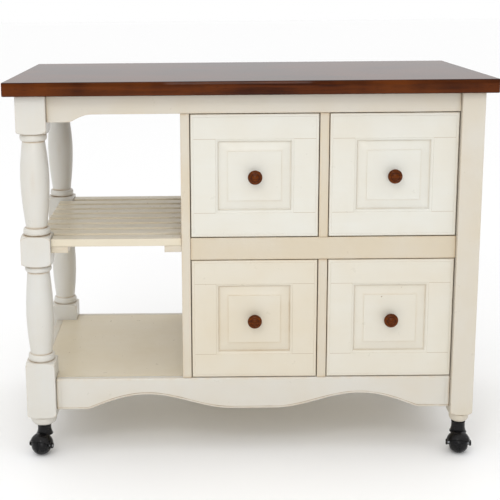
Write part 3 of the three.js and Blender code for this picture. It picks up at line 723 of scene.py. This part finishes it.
def drawer_box(name, node):
    """Four walls, a bottom let into them, and the two strips that straddle the runner."""
    low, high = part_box(node)
    middle = (low.x + high.x) / 2
    floor = low.z - BOX_LIFT
    bottom = floor + BOX_RECESS
    inner_low, inner_high = low.x + BOX_WALL, high.x - BOX_WALL
    boards = [
        (low, (inner_low, high.y, high.z), Y, BOX_EASE),
        ((inner_high, low.y, low.z), high, Y, BOX_EASE),
    ]
    for start in (low.y, high.y - BOX_WALL):
        end_high = (inner_high, start + BOX_WALL, high.z)
        boards.append(((inner_low, start, bottom), end_high, X, BOX_EASE))
    panel_low = (inner_low - BOX_HOUSING, low.y + BOX_WALL - BOX_HOUSING, bottom)
    panel_high = (inner_high + BOX_HOUSING, high.y - BOX_WALL + BOX_HOUSING, bottom + BOX_BOTTOM)
    boards.append((panel_low, panel_high, X, 0.5 * BOX_EASE))
    for side in (-1, 1):
        near, far = GUIDE["inner"], GUIDE["inner"] + GUIDE["width"]
        ends = sorted([middle + side * near, middle + side * far])
        strip_low = (ends[0], low.y, floor + GUIDE["gap"])
        boards.append((strip_low, (ends[1], high.y, bottom + BOX_HOUSING), Y, BOX_EASE))
    forms = [board(*given, glazed=(0, 0)) for given in boards]
    add_piece(name + "_box_boards", name, "bare_wood", BARE_WOOD, forms, [node])


def knob(name, node):
    """A plinth, a waist and a round head, with a ring turned into its face, lathed along a spigot.

    Glaze lies in the ring and round the plinth's foot, and falls off with distance.
    """
    low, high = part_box(node)
    centre = ((low.x + high.x) / 2, (low.z + high.z) / 2)
    seat = high.y - KNOB["spigot"]
    face = seat - low.y
    neck = KNOB["spigot_radius"]
    spigot = [(1.2 * MM, -KNOB["spigot"]), (neck, 0.6 * MM - KNOB["spigot"]), (neck, 0)]
    seating = [(8.2 * MM, 0.05 * MM)]
    plinth = arc((7.3 * MM, 1.2 * MM), (1.2 * MM, 1.0 * MM), -60, 80, 5)
    waist = arc((12.5 * MM, 8.2 * MM), (6.5 * MM, 5.2 * MM), 250, 135, 8)
    head = (10 * MM, face - KNOB["head"])
    under = arc(head, (7 * MM, 5.2 * MM), -62, 0, 6)
    dome = arc(head, (7 * MM, 6.0 * MM), 8, 78, 8)
    ring = arc((KNOB["ring"], face - 1.35 * MM), (1.0 * MM, 0.9 * MM), -20, -160, 5)
    button = arc((0, face - 3.2 * MM), (8.4 * MM, 3.2 * MM), 28, 88, 8)
    profile = np.vstack([spigot, seating, plinth, waist, under, dome, ring, button])
    form = lathe(profile)
    in_ring = np.exp(-(((profile[:, 0] - KNOB["ring"]) / (0.9 * MM)) ** 2))
    in_ring = in_ring * (profile[:, 1] > face - 4 * MM)
    at_foot = np.exp(-np.abs(profile[:, 1] - 1 * MM) / (2 * MM))
    form.glaze = np.repeat(np.maximum(in_ring, at_foot), TURNED_POINTS)
    place = Matrix.Translation((centre[0], seat, centre[1])) @ Matrix.Rotation(math.pi / 2, 4, "X")
    turned_form(form, place)
    add_piece(name + "_knob_turned", name, "knob_stain", KNOB_STAIN, [form], [node], crease=50)


def drawers():
    """Each drawer's front, box and knob ride on it, and its runner stays with the cabinet."""
    for corner, tint in FRONT_TINTS.items():
        name = corner + "_drawer"
        drawer_front(name, name + "_front", tint)
        drawer_box(name, name + "_box")
        knob(name, name + "_knob")
        low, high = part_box(name + "_runner")
        form = board(low, high, Y, BOX_EASE, glazed=(0, 0))
        add_piece(name + "_runner_board", "root", "bare_wood", BARE_WOOD, [form], [name + "_runner"])


# ---- Casters ----
def caster_hood(corner, to_axle, to_stem):
    """A bowl turned about the axis square to its mouth, a neck, a stem and two axle bosses."""
    wall = HOOD_OUTER - HOOD_INNER
    outer_end = -math.degrees(math.asin(HOOD_LIP / HOOD_OUTER))
    inner_end = -math.degrees(math.asin(HOOD_LIP / HOOD_INNER))
    outside = arc((0, 0), (HOOD_OUTER, HOOD_OUTER), 88, outer_end, 26)
    rim = arc(((HOOD_OUTER + HOOD_INNER) / 2, -HOOD_LIP), (wall / 2, 0.9 * MM), -15, -165, 5)
    inside = arc((0, 0), (HOOD_INNER, HOOD_INNER), inner_end, 88, 22)
    bowl = lathe(np.vstack([outside, rim, inside]), 64)
    tilted = to_axle @ Matrix.Rotation(-HOOD_TILT, 4, "X")
    turned_form(bowl, tilted)
    radius, bottom, collar = NECK["radius"], NECK["bottom"], NECK["top"] - 3 * MM
    neck_rows = np.vstack(
        [
            [(radius + 3.5 * MM, bottom + 9 * MM), (radius + 0.6 * MM, bottom + 15 * MM)],
            [(radius - 0.6 * MM, bottom + 22 * MM), (radius - 0.6 * MM, collar - 3 * MM)],
            arc((radius - 1 * MM, collar), (1 * MM, 2.2 * MM), -60, 90, 6),
            [(STEM["radius"] + 1 * MM, NECK["top"] - 0.1 * MM), (STEM["radius"], NECK["top"])],
        ]
    )
    neck = turned_form(lathe(np.vstack([neck_rows, [(STEM["radius"], NECK["top"] + 0.2 * MM)]]), 40), to_stem)
    forms = [bowl, neck]
    for side in (-1, 1):
        profile = np.vstack(
            [
                [(AXLE_BORE, HOOD_INNER - 0.4 * MM), (BOSS["radius"], HOOD_INNER - 0.4 * MM)],
                [(BOSS["radius"], BOSS["end"] - 1.2 * MM)],
                arc((BOSS["radius"] - 1.2 * MM, BOSS["end"] - 1.2 * MM), (1.2 * MM, 1.2 * MM), 15, 90, 4),
                [(AXLE_BORE, BOSS["end"])],
            ]
        )
        boss = looped_lathe(profile, 28)
        forms.append(turned_form(boss, to_axle @ Matrix.Rotation(side * math.pi / 2, 4, "Y")))
    node = corner + "_caster_hood"
    add_piece(node + "_moulded", corner + "_caster", "caster_hood", HOOD_PLASTIC, forms, [node], crease=40)
    stem_rows = [(0.3 * MM, NECK["top"] - 1 * MM), (STEM["radius"], NECK["top"] - 1 * MM)]
    tip = arc((STEM["radius"] - 1.5 * MM, STEM["top"] - 1.5 * MM), (1.5 * MM, 1.5 * MM), 0, 85, 4)
    stem = turned_form(lathe(np.vstack([stem_rows, tip]), 20), to_stem)
    add_piece(corner + "_caster_grip_stem", corner + "_caster", "steel", STEEL, [stem])


def caster_wheel(corner, to_axle):
    """Half a ball each side of a grooved tread, with a turned recess in each flat end."""
    flat_radius = math.sqrt(WHEEL_RADIUS**2 - WHEEL_HALF_WIDTH**2)
    bed = WHEEL_RADIUS - 1.4 * MM
    groove = [(bed, 0), (bed, 0.7 * MM), (WHEEL_RADIUS - 0.3 * MM, 1.0 * MM)]
    tread = [(WHEEL_RADIUS, 1.3 * MM), (WHEEL_RADIUS, WHEEL_TREAD)]
    across = np.linspace(WHEEL_TREAD, WHEEL_HALF_WIDTH - 0.8 * MM, 14)[1:]
    ball = np.stack([np.sqrt(WHEEL_RADIUS**2 - across**2), across], -1)
    hub = [
        (flat_radius - 0.6 * MM, WHEEL_HALF_WIDTH), (AXLE_BORE + 5.5 * MM, WHEEL_HALF_WIDTH),
        (AXLE_BORE + 5 * MM, WHEEL_HALF_WIDTH - 2 * MM), (AXLE_BORE + 2.2 * MM, WHEEL_HALF_WIDTH - 2 * MM),
        (AXLE_BORE + 2 * MM, WHEEL_HALF_WIDTH), (AXLE_BORE, WHEEL_HALF_WIDTH),
    ]
    half = np.vstack([groove, tread, ball, hub])
    mirrored = (half * np.array([1, -1]))[::-1][:-1]
    form = looped_lathe(np.vstack([half, mirrored]), 56)
    turned_form(form, to_axle @ Matrix.Rotation(math.pi / 2, 4, "Y"))
    node = corner + "_caster_wheel"
    add_piece(node + "_moulded", corner + "_wheel", "caster_wheel", WHEEL_PLASTIC, [form], [node], crease=40)


def caster_axle(corner, to_axle):
    """A plain pin with a rounded head at both ends."""
    end = BOSS["end"]
    cap = arc((AXLE_RADIUS - 0.8 * MM, end - 0.8 * MM), (0.8 * MM, 0.8 * MM), 0, 88, 5)
    profile = np.vstack([(cap * np.array([1, -1]))[::-1], cap])
    form = turned_form(lathe(profile, 24), to_axle @ Matrix.Rotation(math.pi / 2, 4, "Y"))
    node = corner + "_caster_axle"
    add_piece(node + "_turned", corner + "_caster", "steel", STEEL, [form], [node], crease=40)


def casters():
    """Each caster is turned to its wheel's axle and stands under its swivel, as the joints say."""
    joints = {joint["name"]: joint for joint in frame["joints"]}
    for corner in ("front_left", "front_right", "back_left", "back_right"):
        spin = joints[corner + "_wheel_spin"]
        swivel = joints[corner + "_swivel"]
        turn = Matrix.Rotation(math.atan2(spin["axis"][1], spin["axis"][0]), 4, "Z")
        to_axle = Matrix.Translation(spin["pos_m"]) @ turn
        to_stem = Matrix.Translation((swivel["pos_m"][0], swivel["pos_m"][1], 0)) @ turn
        caster_hood(corner, to_axle, to_stem)
        caster_wheel(corner, to_axle)
        caster_axle(corner, to_axle)


# ---- Finishes ----
TONES = {
    "brushed": srgb(205, 190, 158),
    "rubbed": srgb(196, 164, 116),
    "glaze": srgb(186, 156, 110),
    "deep_glaze": srgb(118, 88, 56),
    "joint_line": srgb(150, 120, 82),
    "speck": srgb(120, 88, 52),
    "stain_patch": srgb(116, 58, 12),
    "stain_edge": srgb(26, 7, 3),
    "stain_pore": srgb(30, 8, 3),
    "wood_pore": srgb(140, 100, 60),
    "knob_groove": srgb(44, 12, 4),
    "dust": srgb(120, 116, 110),
    "dark_steel": srgb(150, 152, 156),
    "light_steel": srgb(196, 198, 202),
}
LACQUER = {"specular_ior_level": 0.0, "coat_weight": 1.0, "coat_ior": 1.22}


def add_node(tree, kind, inputs=None, **settings):
    """A shader node with its settings, and each input set to a value or linked to a socket."""
    made = tree.nodes.new("ShaderNode" + kind)
    for key, value in settings.items():
        setattr(made, key, value)
    for key, value in (inputs or {}).items():
        if isinstance(value, bpy.types.NodeSocket):
            tree.links.new(value, made.inputs[key])
        else:
            made.inputs[key].default_value = value
    return made


def calculate(tree, operation, first, second=0.0, third=0.0, clamp=False):
    """The outcome of one sum on values or sockets."""
    made = add_node(tree, "Math", {0: first, 1: second, 2: third}, operation=operation, use_clamp=clamp)
    return made.outputs[0]


def mix_colours(tree, share, first, second):
    """From the first colour to the second as the share goes from 0 to 1."""
    return add_node(tree, "Mix", {0: share, 6: first, 7: second}, data_type="RGBA").outputs[2]


def lay_over(tree, colour, mask, strength, tone):
    """A tone laid over a colour where the mask is, as strongly as mask times strength."""
    return mix_colours(tree, calculate(tree, "MULTIPLY", mask, strength), colour, tone)


def remap(tree, value, low, high, new_low=0.0, new_high=1.0):
    """Straight from one range to another, held at its ends."""
    inputs = {"Value": value, "From Min": low, "From Max": high, "To Min": new_low, "To Max": new_high}
    return add_node(tree, "MapRange", inputs).outputs[0]


def noise(tree, vector, scale, detail=3.0, roughness=0.55):
    """Perlin noise summed over octaves."""
    inputs = {"Vector": vector, "Scale": scale, "Detail": detail, "Roughness": roughness}
    return add_node(tree, "TexNoise", inputs).outputs[0]


def attribute(tree, name, socket="Fac"):
    """What a piece's mesh says at each point."""
    return add_node(tree, "Attribute", attribute_name=name).outputs[socket]


def new_group(name, inputs, outputs):
    """A shader node group. inputs and outputs are pairs of a name and a kind of socket."""
    tree = bpy.data.node_groups.new(name, "ShaderNodeTree")
    for label, kind, *value in inputs:
        socket = tree.interface.new_socket(label, in_out="INPUT", socket_type="NodeSocket" + kind)
        if value:
            socket.default_value = value[0]
    for label, kind in outputs:
        tree.interface.new_socket(label, in_out="OUTPUT", socket_type="NodeSocket" + kind)
    return tree, tree.nodes.new("NodeGroupInput").outputs, tree.nodes.new("NodeGroupOutput")


def use_group(tree, group, inputs):
    """A node group placed in a tree with its own values; returns its outputs."""
    made = tree.nodes.new("ShaderNodeGroup")
    made.node_tree = group
    for key, value in inputs.items():
        if isinstance(value, bpy.types.NodeSocket):
            tree.links.new(value, made.inputs[key])
        else:
            made.inputs[key].default_value = value
    return made.outputs


def drawn_out_noise():
    """Noise stretched along a board: Along and Across are its scales in those directions."""
    inputs = [
        ("Place", "Vector"), ("Along", "Float", 4.0), ("Across", "Float", 80.0), ("Detail", "Float", 3.0),
    ]
    tree, given, out = new_group("drawn_out_noise", inputs, [("Value", "Float")])
    sides = {0: given["Along"], 1: given["Across"], 2: given["Across"]}
    scales = add_node(tree, "CombineXYZ", sides).outputs[0]
    stretched = add_node(tree, "VectorMath", {0: given["Place"], 1: scales}, operation="MULTIPLY").outputs[0]
    tree.links.new(noise(tree, stretched, 1.0, given["Detail"]), out.inputs["Value"])
    return tree


def fly_specks():
    """Sparse small flecks of dark glaze: cells of a Voronoi pattern whose random value is high."""
    inputs = [
        ("Place", "Vector"), ("Scale", "Float", 60.0), ("Share", "Float", 0.04), ("Size", "Float", 0.1),
    ]
    tree, given, out = new_group("fly_specks", inputs, [("Mask", "Float")])
    cells = add_node(tree, "TexVoronoi", {"Vector": given["Place"], "Scale": given["Scale"]})
    chance = add_node(tree, "SeparateColor", {0: cells.outputs["Color"]}).outputs[0]
    chosen = calculate(tree, "LESS_THAN", chance, given["Share"])
    inside = calculate(tree, "LESS_THAN", cells.outputs["Distance"], given["Size"])
    tree.links.new(calculate(tree, "MULTIPLY", chosen, inside), out.inputs["Mask"])
    return tree


def antiqued_paint():
    """Cream paint that varies from cool to warm, with brush marks, and tan glaze rubbed into its
    hollows and left along its edges. Glaze, Edge and Tint come from the piece, Lines from its front."""
    inputs = [
        ("Place", "Vector"), ("Glaze", "Float", 0.0), ("Edge", "Float", 0.0), ("Tint", "Float", 0.5),
        ("Lines", "Float", 0.0), ("Cool", "Color"), ("Warm", "Color"),
    ]
    outputs = [("Color", "Color"), ("Roughness", "Float"), ("Height", "Float")]
    tree, given, out = new_group("antiqued_paint", inputs, outputs)
    place = given["Place"]
    drawn = {"Place": place, "Along": 9.0, "Across": 130.0, "Detail": 4.0}
    brush = use_group(tree, DRAWN_OUT_NOISE, drawn)["Value"]
    hairs = use_group(tree, DRAWN_OUT_NOISE, {**drawn, "Along": 22.0, "Across": 700.0})["Value"]
    cloud = noise(tree, place, 7.0, 3.0)
    blotch = noise(tree, place, 38.0, 4.0, 0.6)
    warmth = calculate(tree, "MULTIPLY_ADD", remap(tree, cloud, 0.3, 0.7), 0.36, -0.18)
    warmth = calculate(tree, "ADD", given["Tint"], warmth, clamp=True)
    colour = mix_colours(tree, warmth, given["Cool"], given["Warm"])
    streak = remap(tree, brush, 0.3, 0.8, 0.0, 0.06)
    colour = mix_colours(tree, streak, colour, TONES["brushed"])
    rubbed = calculate(tree, "MULTIPLY", given["Edge"], remap(tree, blotch, 0.38, 0.66))
    colour = lay_over(tree, colour, rubbed, 0.24, TONES["rubbed"])
    uneven = remap(tree, noise(tree, place, 24.0, 2.0), 0.3, 0.7, 0.45, 1.25)
    # The Glaze mask also carries painted shade on the drawer fronts' sides and outer edge and in the aprons'
    # quirk, laid with the same tones.
    pooled = calculate(tree, "MULTIPLY", given["Glaze"], uneven, clamp=True)
    colour = lay_over(tree, colour, pooled, 0.6, TONES["glaze"])
    deep = calculate(tree, "POWER", pooled, 3.0)
    colour = lay_over(tree, colour, deep, 0.55, TONES["deep_glaze"])
    colour = lay_over(tree, colour, given["Lines"], 0.62, TONES["joint_line"])
    sparse = {"Place": place, "Scale": 42.0, "Share": 0.035, "Size": 0.07}
    colour = lay_over(tree, colour, use_group(tree, FLY_SPECKS, sparse)["Mask"], 0.7, TONES["speck"])
    tree.links.new(colour, out.inputs["Color"])
    tree.links.new(remap(tree, blotch, 0.3, 0.7, 0.27, 0.4), out.inputs["Roughness"])
    fine = calculate(tree, "MULTIPLY_ADD", hairs, 0.5, calculate(tree, "MULTIPLY", brush, 0.5))
    tree.links.new(calculate(tree, "SUBTRACT", fine, given["Lines"]), out.inputs["Height"])
    return tree


def wood_figure():
    """Wood along a board: broad bands bent by noise, fine fibre, and short dark pores."""
    inputs = [("Place", "Vector"), ("Bands", "Float", 26.0), ("Dark", "Color"), ("Light", "Color")]
    outputs = [("Color", "Color"), ("Fibre", "Float"), ("Pores", "Float")]
    tree, given, out = new_group("wood_figure", inputs, outputs)
    place = given["Place"]
    broad = {"Place": place, "Along": 1.6, "Across": given["Bands"], "Detail": 5.0}
    bands = use_group(tree, DRAWN_OUT_NOISE, broad)["Value"]
    fine = {"Place": place, "Along": 9.0, "Across": 420.0, "Detail": 4.0}
    fibre = use_group(tree, DRAWN_OUT_NOISE, fine)["Value"]
    short = {"Place": place, "Along": 55.0, "Across": 1300.0, "Detail": 1.0}
    pores = use_group(tree, DRAWN_OUT_NOISE, short)["Value"]
    waves = calculate(tree, "SINE", calculate(tree, "MULTIPLY", bands, 34.0))
    figure = calculate(tree, "MULTIPLY_ADD", waves, 0.28, 0.5)
    lowered = calculate(tree, "SUBTRACT", figure, 0.35)
    figure = calculate(tree, "MULTIPLY_ADD", fibre, 0.7, lowered, clamp=True)
    colour = mix_colours(tree, figure, given["Dark"], given["Light"])
    tree.links.new(colour, out.inputs["Color"])
    tree.links.new(fibre, out.inputs["Fibre"])
    tree.links.new(remap(tree, pores, 0.62, 0.7), out.inputs["Pores"])
    return tree


def new_material(name, **constants):
    """A material's tree and its Principled BSDF, with the constants set on the shader's own sockets."""
    material = bpy.data.materials.new(name)
    material.use_nodes = True
    tree = material.node_tree
    shader = next(n for n in tree.nodes if n.type == "BSDF_PRINCIPLED")
    for key, value in constants.items():
        shader.inputs[key.replace("_", " ").title().replace("Ior", "IOR")].default_value = value
    return material, tree, shader


def bump(tree, shader, height, strength, distance):
    """Relief from a height of 0 to 1 over a distance."""
    inputs = {"Height": height, "Strength": strength, "Distance": distance}
    tree.links.new(add_node(tree, "Bump", inputs).outputs[0], shader.inputs["Normal"])


def paint_material(name, cool, warm, joint_lines=False):
    """The antiqued paint between a cool and a warm tone, with a drawer front's hairlines if asked."""
    material, tree, shader = new_material(name, specular_ior_level=0.5)
    lines = frame_lines(tree) if joint_lines else 0.0
    given = {
        "Place": attribute(tree, "place", "Vector"), "Glaze": attribute(tree, "glaze"),
        "Edge": attribute(tree, "edge"), "Tint": attribute(tree, "tint"),
        "Lines": lines, "Cool": cool, "Warm": warm,
    }
    paint = use_group(tree, ANTIQUED_PAINT, given)
    tree.links.new(paint["Color"], shader.inputs["Base Color"])
    tree.links.new(paint["Roughness"], shader.inputs["Roughness"])
    bump(tree, shader, paint["Height"], 0.06, 0.3 * MM)
    return material


def frame_lines(tree):
    """Hairlines where a drawer front's rails meet its stiles: level with the panel's opening, and
    only outside it."""
    face = add_node(tree, "SeparateXYZ", {0: attribute(tree, "face", "Vector")}).outputs
    reach = add_node(tree, "SeparateXYZ", {0: attribute(tree, "reach", "Vector")}).outputs
    up = calculate(tree, "SUBTRACT", calculate(tree, "ABSOLUTE", face[1]), reach[1])
    off = calculate(tree, "ABSOLUTE", calculate(tree, "ADD", up, FRONT_FRAME))
    hair = remap(tree, off, 0.25 * MM, 0.7 * MM, 1.0, 0.0)
    out = calculate(tree, "SUBTRACT", calculate(tree, "ABSOLUTE", face[0]), reach[0])
    beside = calculate(tree, "GREATER_THAN", out, -FRONT_FRAME)
    inside = calculate(tree, "LESS_THAN", out, -7.2 * MM)
    return calculate(tree, "MULTIPLY", hair, calculate(tree, "MULTIPLY", beside, inside))


def top_stain():
    """Red-brown stain with lighter patches, dark along the edges and in the pores, under lacquer."""
    material, tree, shader = new_material("top_stain", coat_roughness=0.05, **LACQUER)
    place = attribute(tree, "place", "Vector")
    given = {"Place": place, "Bands": 20.0, "Dark": srgb(40, 12, 2), "Light": srgb(84, 37, 6)}
    wood = use_group(tree, WOOD_FIGURE, given)
    patch = remap(tree, noise(tree, place, 5.0, 3.0, 0.6), 0.4, 0.68)
    colour = lay_over(tree, wood["Color"], patch, 0.45, TONES["stain_patch"])
    colour = lay_over(tree, colour, attribute(tree, "edge"), 0.9, TONES["stain_edge"])
    colour = lay_over(tree, colour, wood["Pores"], 0.55, TONES["stain_pore"])
    tree.links.new(colour, shader.inputs["Base Color"])
    tree.links.new(remap(tree, wood["Fibre"], 0.3, 0.7, 0.3, 0.45), shader.inputs["Roughness"])
    bump(tree, shader, wood["Fibre"], 0.06, 0.2 * MM)
    return material


def bare_wood():
    """Planed pale wood, unfinished."""
    material, tree, shader = new_material("bare_wood")
    given = {
        "Place": attribute(tree, "place", "Vector"), "Bands": 22.0,
        "Dark": srgb(198, 164, 118), "Light": srgb(222, 196, 153),
    }
    wood = use_group(tree, WOOD_FIGURE, given)
    colour = lay_over(tree, wood["Color"], wood["Pores"], 0.4, TONES["wood_pore"])
    tree.links.new(colour, shader.inputs["Base Color"])
    tree.links.new(remap(tree, wood["Fibre"], 0.3, 0.7, 0.5, 0.68), shader.inputs["Roughness"])
    bump(tree, shader, wood["Fibre"], 0.25, 0.3 * MM)
    return material


def knob_stain():
    """The worktop's stain, finer in figure and darker in the turned grooves."""
    material, tree, shader = new_material("knob_stain", coat_roughness=0.1, **LACQUER)
    place = attribute(tree, "place", "Vector")
    given = {"Place": place, "Bands": 120.0, "Dark": srgb(58, 22, 0), "Light": srgb(108, 50, 2)}
    wood = use_group(tree, WOOD_FIGURE, given)
    colour = lay_over(tree, wood["Color"], attribute(tree, "glaze"), 0.75, TONES["knob_groove"])
    tree.links.new(colour, shader.inputs["Base Color"])
    tree.links.new(remap(tree, wood["Fibre"], 0.3, 0.7, 0.28, 0.4), shader.inputs["Roughness"])
    bump(tree, shader, wood["Fibre"], 0.05, 0.2 * MM)
    return material


def moulded_plastic(name, colour, smooth, dull, grain):
    """Dark plastic with a fine grain, whose scuffs are duller and hold a little dust."""
    material, tree, shader = new_material(name, specular_ior_level=0.22)
    place = attribute(tree, "place", "Vector")
    scuffs = noise(tree, place, 90.0, 5.0, 0.65)
    tree.links.new(remap(tree, scuffs, 0.3, 0.7, smooth, dull), shader.inputs["Roughness"])
    dusty = lay_over(tree, colour, remap(tree, scuffs, 0.5, 0.8), 0.05, TONES["dust"])
    tree.links.new(dusty, shader.inputs["Base Color"])
    bump(tree, shader, noise(tree, place, grain, 2.0), 0.12, 0.2 * MM)
    return material


def axle_steel():
    """Turned steel, uneven in tone and polish."""
    material, tree, shader = new_material("axle_steel", metallic=1.0)
    place = attribute(tree, "place", "Vector")
    turned = noise(tree, place, 900.0, 2.0)
    colour = mix_colours(tree, turned, TONES["dark_steel"], TONES["light_steel"])
    tree.links.new(colour, shader.inputs["Base Color"])
    tree.links.new(remap(tree, turned, 0.3, 0.7, 0.22, 0.4), shader.inputs["Roughness"])
    return material


DRAWN_OUT_NOISE = drawn_out_noise()
FLY_SPECKS = fly_specks()
ANTIQUED_PAINT = antiqued_paint()
WOOD_FIGURE = wood_figure()
PAINT = paint_material("antiqued_paint", srgb(206, 205, 200), srgb(201, 189, 167))
FRONT_PAINT = paint_material(
    "antiqued_front_paint", srgb(214, 213, 205), srgb(208, 198, 178), joint_lines=True
)
SHELF_PAINT = paint_material("antiqued_shelf_paint", srgb(216, 210, 196), srgb(209, 197, 171))
TOP_STAIN = top_stain()
KNOB_STAIN = knob_stain()
BARE_WOOD = bare_wood()
HOOD_PLASTIC = moulded_plastic("hood_plastic", srgb(13, 12, 13), 0.16, 0.3, 700.0)
WHEEL_PLASTIC = moulded_plastic("wheel_plastic", srgb(10, 10, 12), 0.2, 0.36, 500.0)
STEEL = axle_steel()


# ---- Studio: a pale floor, a white surround and large soft lights ----
def surround():
    """White to look at; as a light it is bright overhead and dimmer towards the horizon."""
    world = bpy.data.worlds.new("white_surround")
    world.use_nodes = True
    tree = world.node_tree
    background = next(n for n in tree.nodes if n.type == "BACKGROUND")
    background.inputs["Color"].default_value = (1, 1, 1, 1)
    direction = add_node(tree, "TexCoord").outputs["Generated"]
    height = add_node(tree, "SeparateXYZ", {0: direction}).outputs[2]
    strength = remap(tree, height, 0.0, 1.0, SURROUND["horizon"], SURROUND["zenith"])
    seen = add_node(tree, "LightPath").outputs["Is Camera Ray"]
    strength = calculate(tree, "MULTIPLY_ADD", seen, calculate(tree, "SUBTRACT", 1.0, strength), strength)
    tree.links.new(strength, background.inputs["Strength"])
    bpy.context.scene.world = world


def studio():
    """A floor far wider than the view, the surround, and square soft lights turned to the cart."""
    size = FLOOR["half_width"]
    mesh = bpy.data.meshes.new("floor")
    corners = [(-size, -size, 0), (size, -size, 0), (size, size, 0), (-size, size, 0)]
    mesh.from_pydata(corners, [], [(0, 1, 2, 3)])
    floor = bpy.data.objects.new("floor", mesh)
    bpy.context.scene.collection.objects.link(floor)
    material, _, shader = new_material("pale_floor", roughness=0.7, specular_ior_level=0.2)
    shader.inputs["Base Color"].default_value = (FLOOR["tone"], FLOOR["tone"], FLOOR["tone"], 1)
    mesh.materials.append(material)

    surround()
    for name, place, width, power, reflected in SOFT_LIGHTS:
        light = bpy.data.lights.new(name, "AREA")
        light.shape = "SQUARE"
        light.size = width
        light.energy = power
        lamp = bpy.data.objects.new(name, light)
        lamp.location = place
        lamp.rotation_euler = (Vector(LIT_POINT) - Vector(place)).to_track_quat("-Z", "Y").to_euler()
        lamp.visible_glossy = reflected
        bpy.context.scene.collection.objects.link(lamp)


def camera():
    """In front of the cart and a little above its worktop, turned by yaw, pitch and roll."""
    yaw, pitch, roll = CAMERA["turns"]
    level = math.cos(pitch)
    forward = Vector((math.sin(yaw) * level, math.cos(yaw) * level, -math.sin(pitch)))
    right = Vector((math.cos(yaw), -math.sin(yaw), 0))
    down = forward.cross(right)
    turned_right = math.cos(roll) * right + math.sin(roll) * down
    up = math.sin(roll) * right - math.cos(roll) * down
    facing = Matrix((turned_right, up, -forward)).transposed()
    data = bpy.data.cameras.new("camera")
    data.sensor_width = CAMERA["sensor"]
    data.lens = CAMERA["lens"]
    data.shift_x, data.shift_y = CAMERA["shift"]
    made = bpy.data.objects.new("camera", data)
    made.matrix_world = Matrix.Translation(CAMERA["eye"]) @ facing.to_4x4()
    bpy.context.scene.collection.objects.link(made)
    bpy.context.scene.camera = made


worktop()
legs_and_posts()
frame_boards()
shelves()
drawers()
casters()
studio()
camera()
bpy.context.scene.view_settings.view_transform = "Standard"
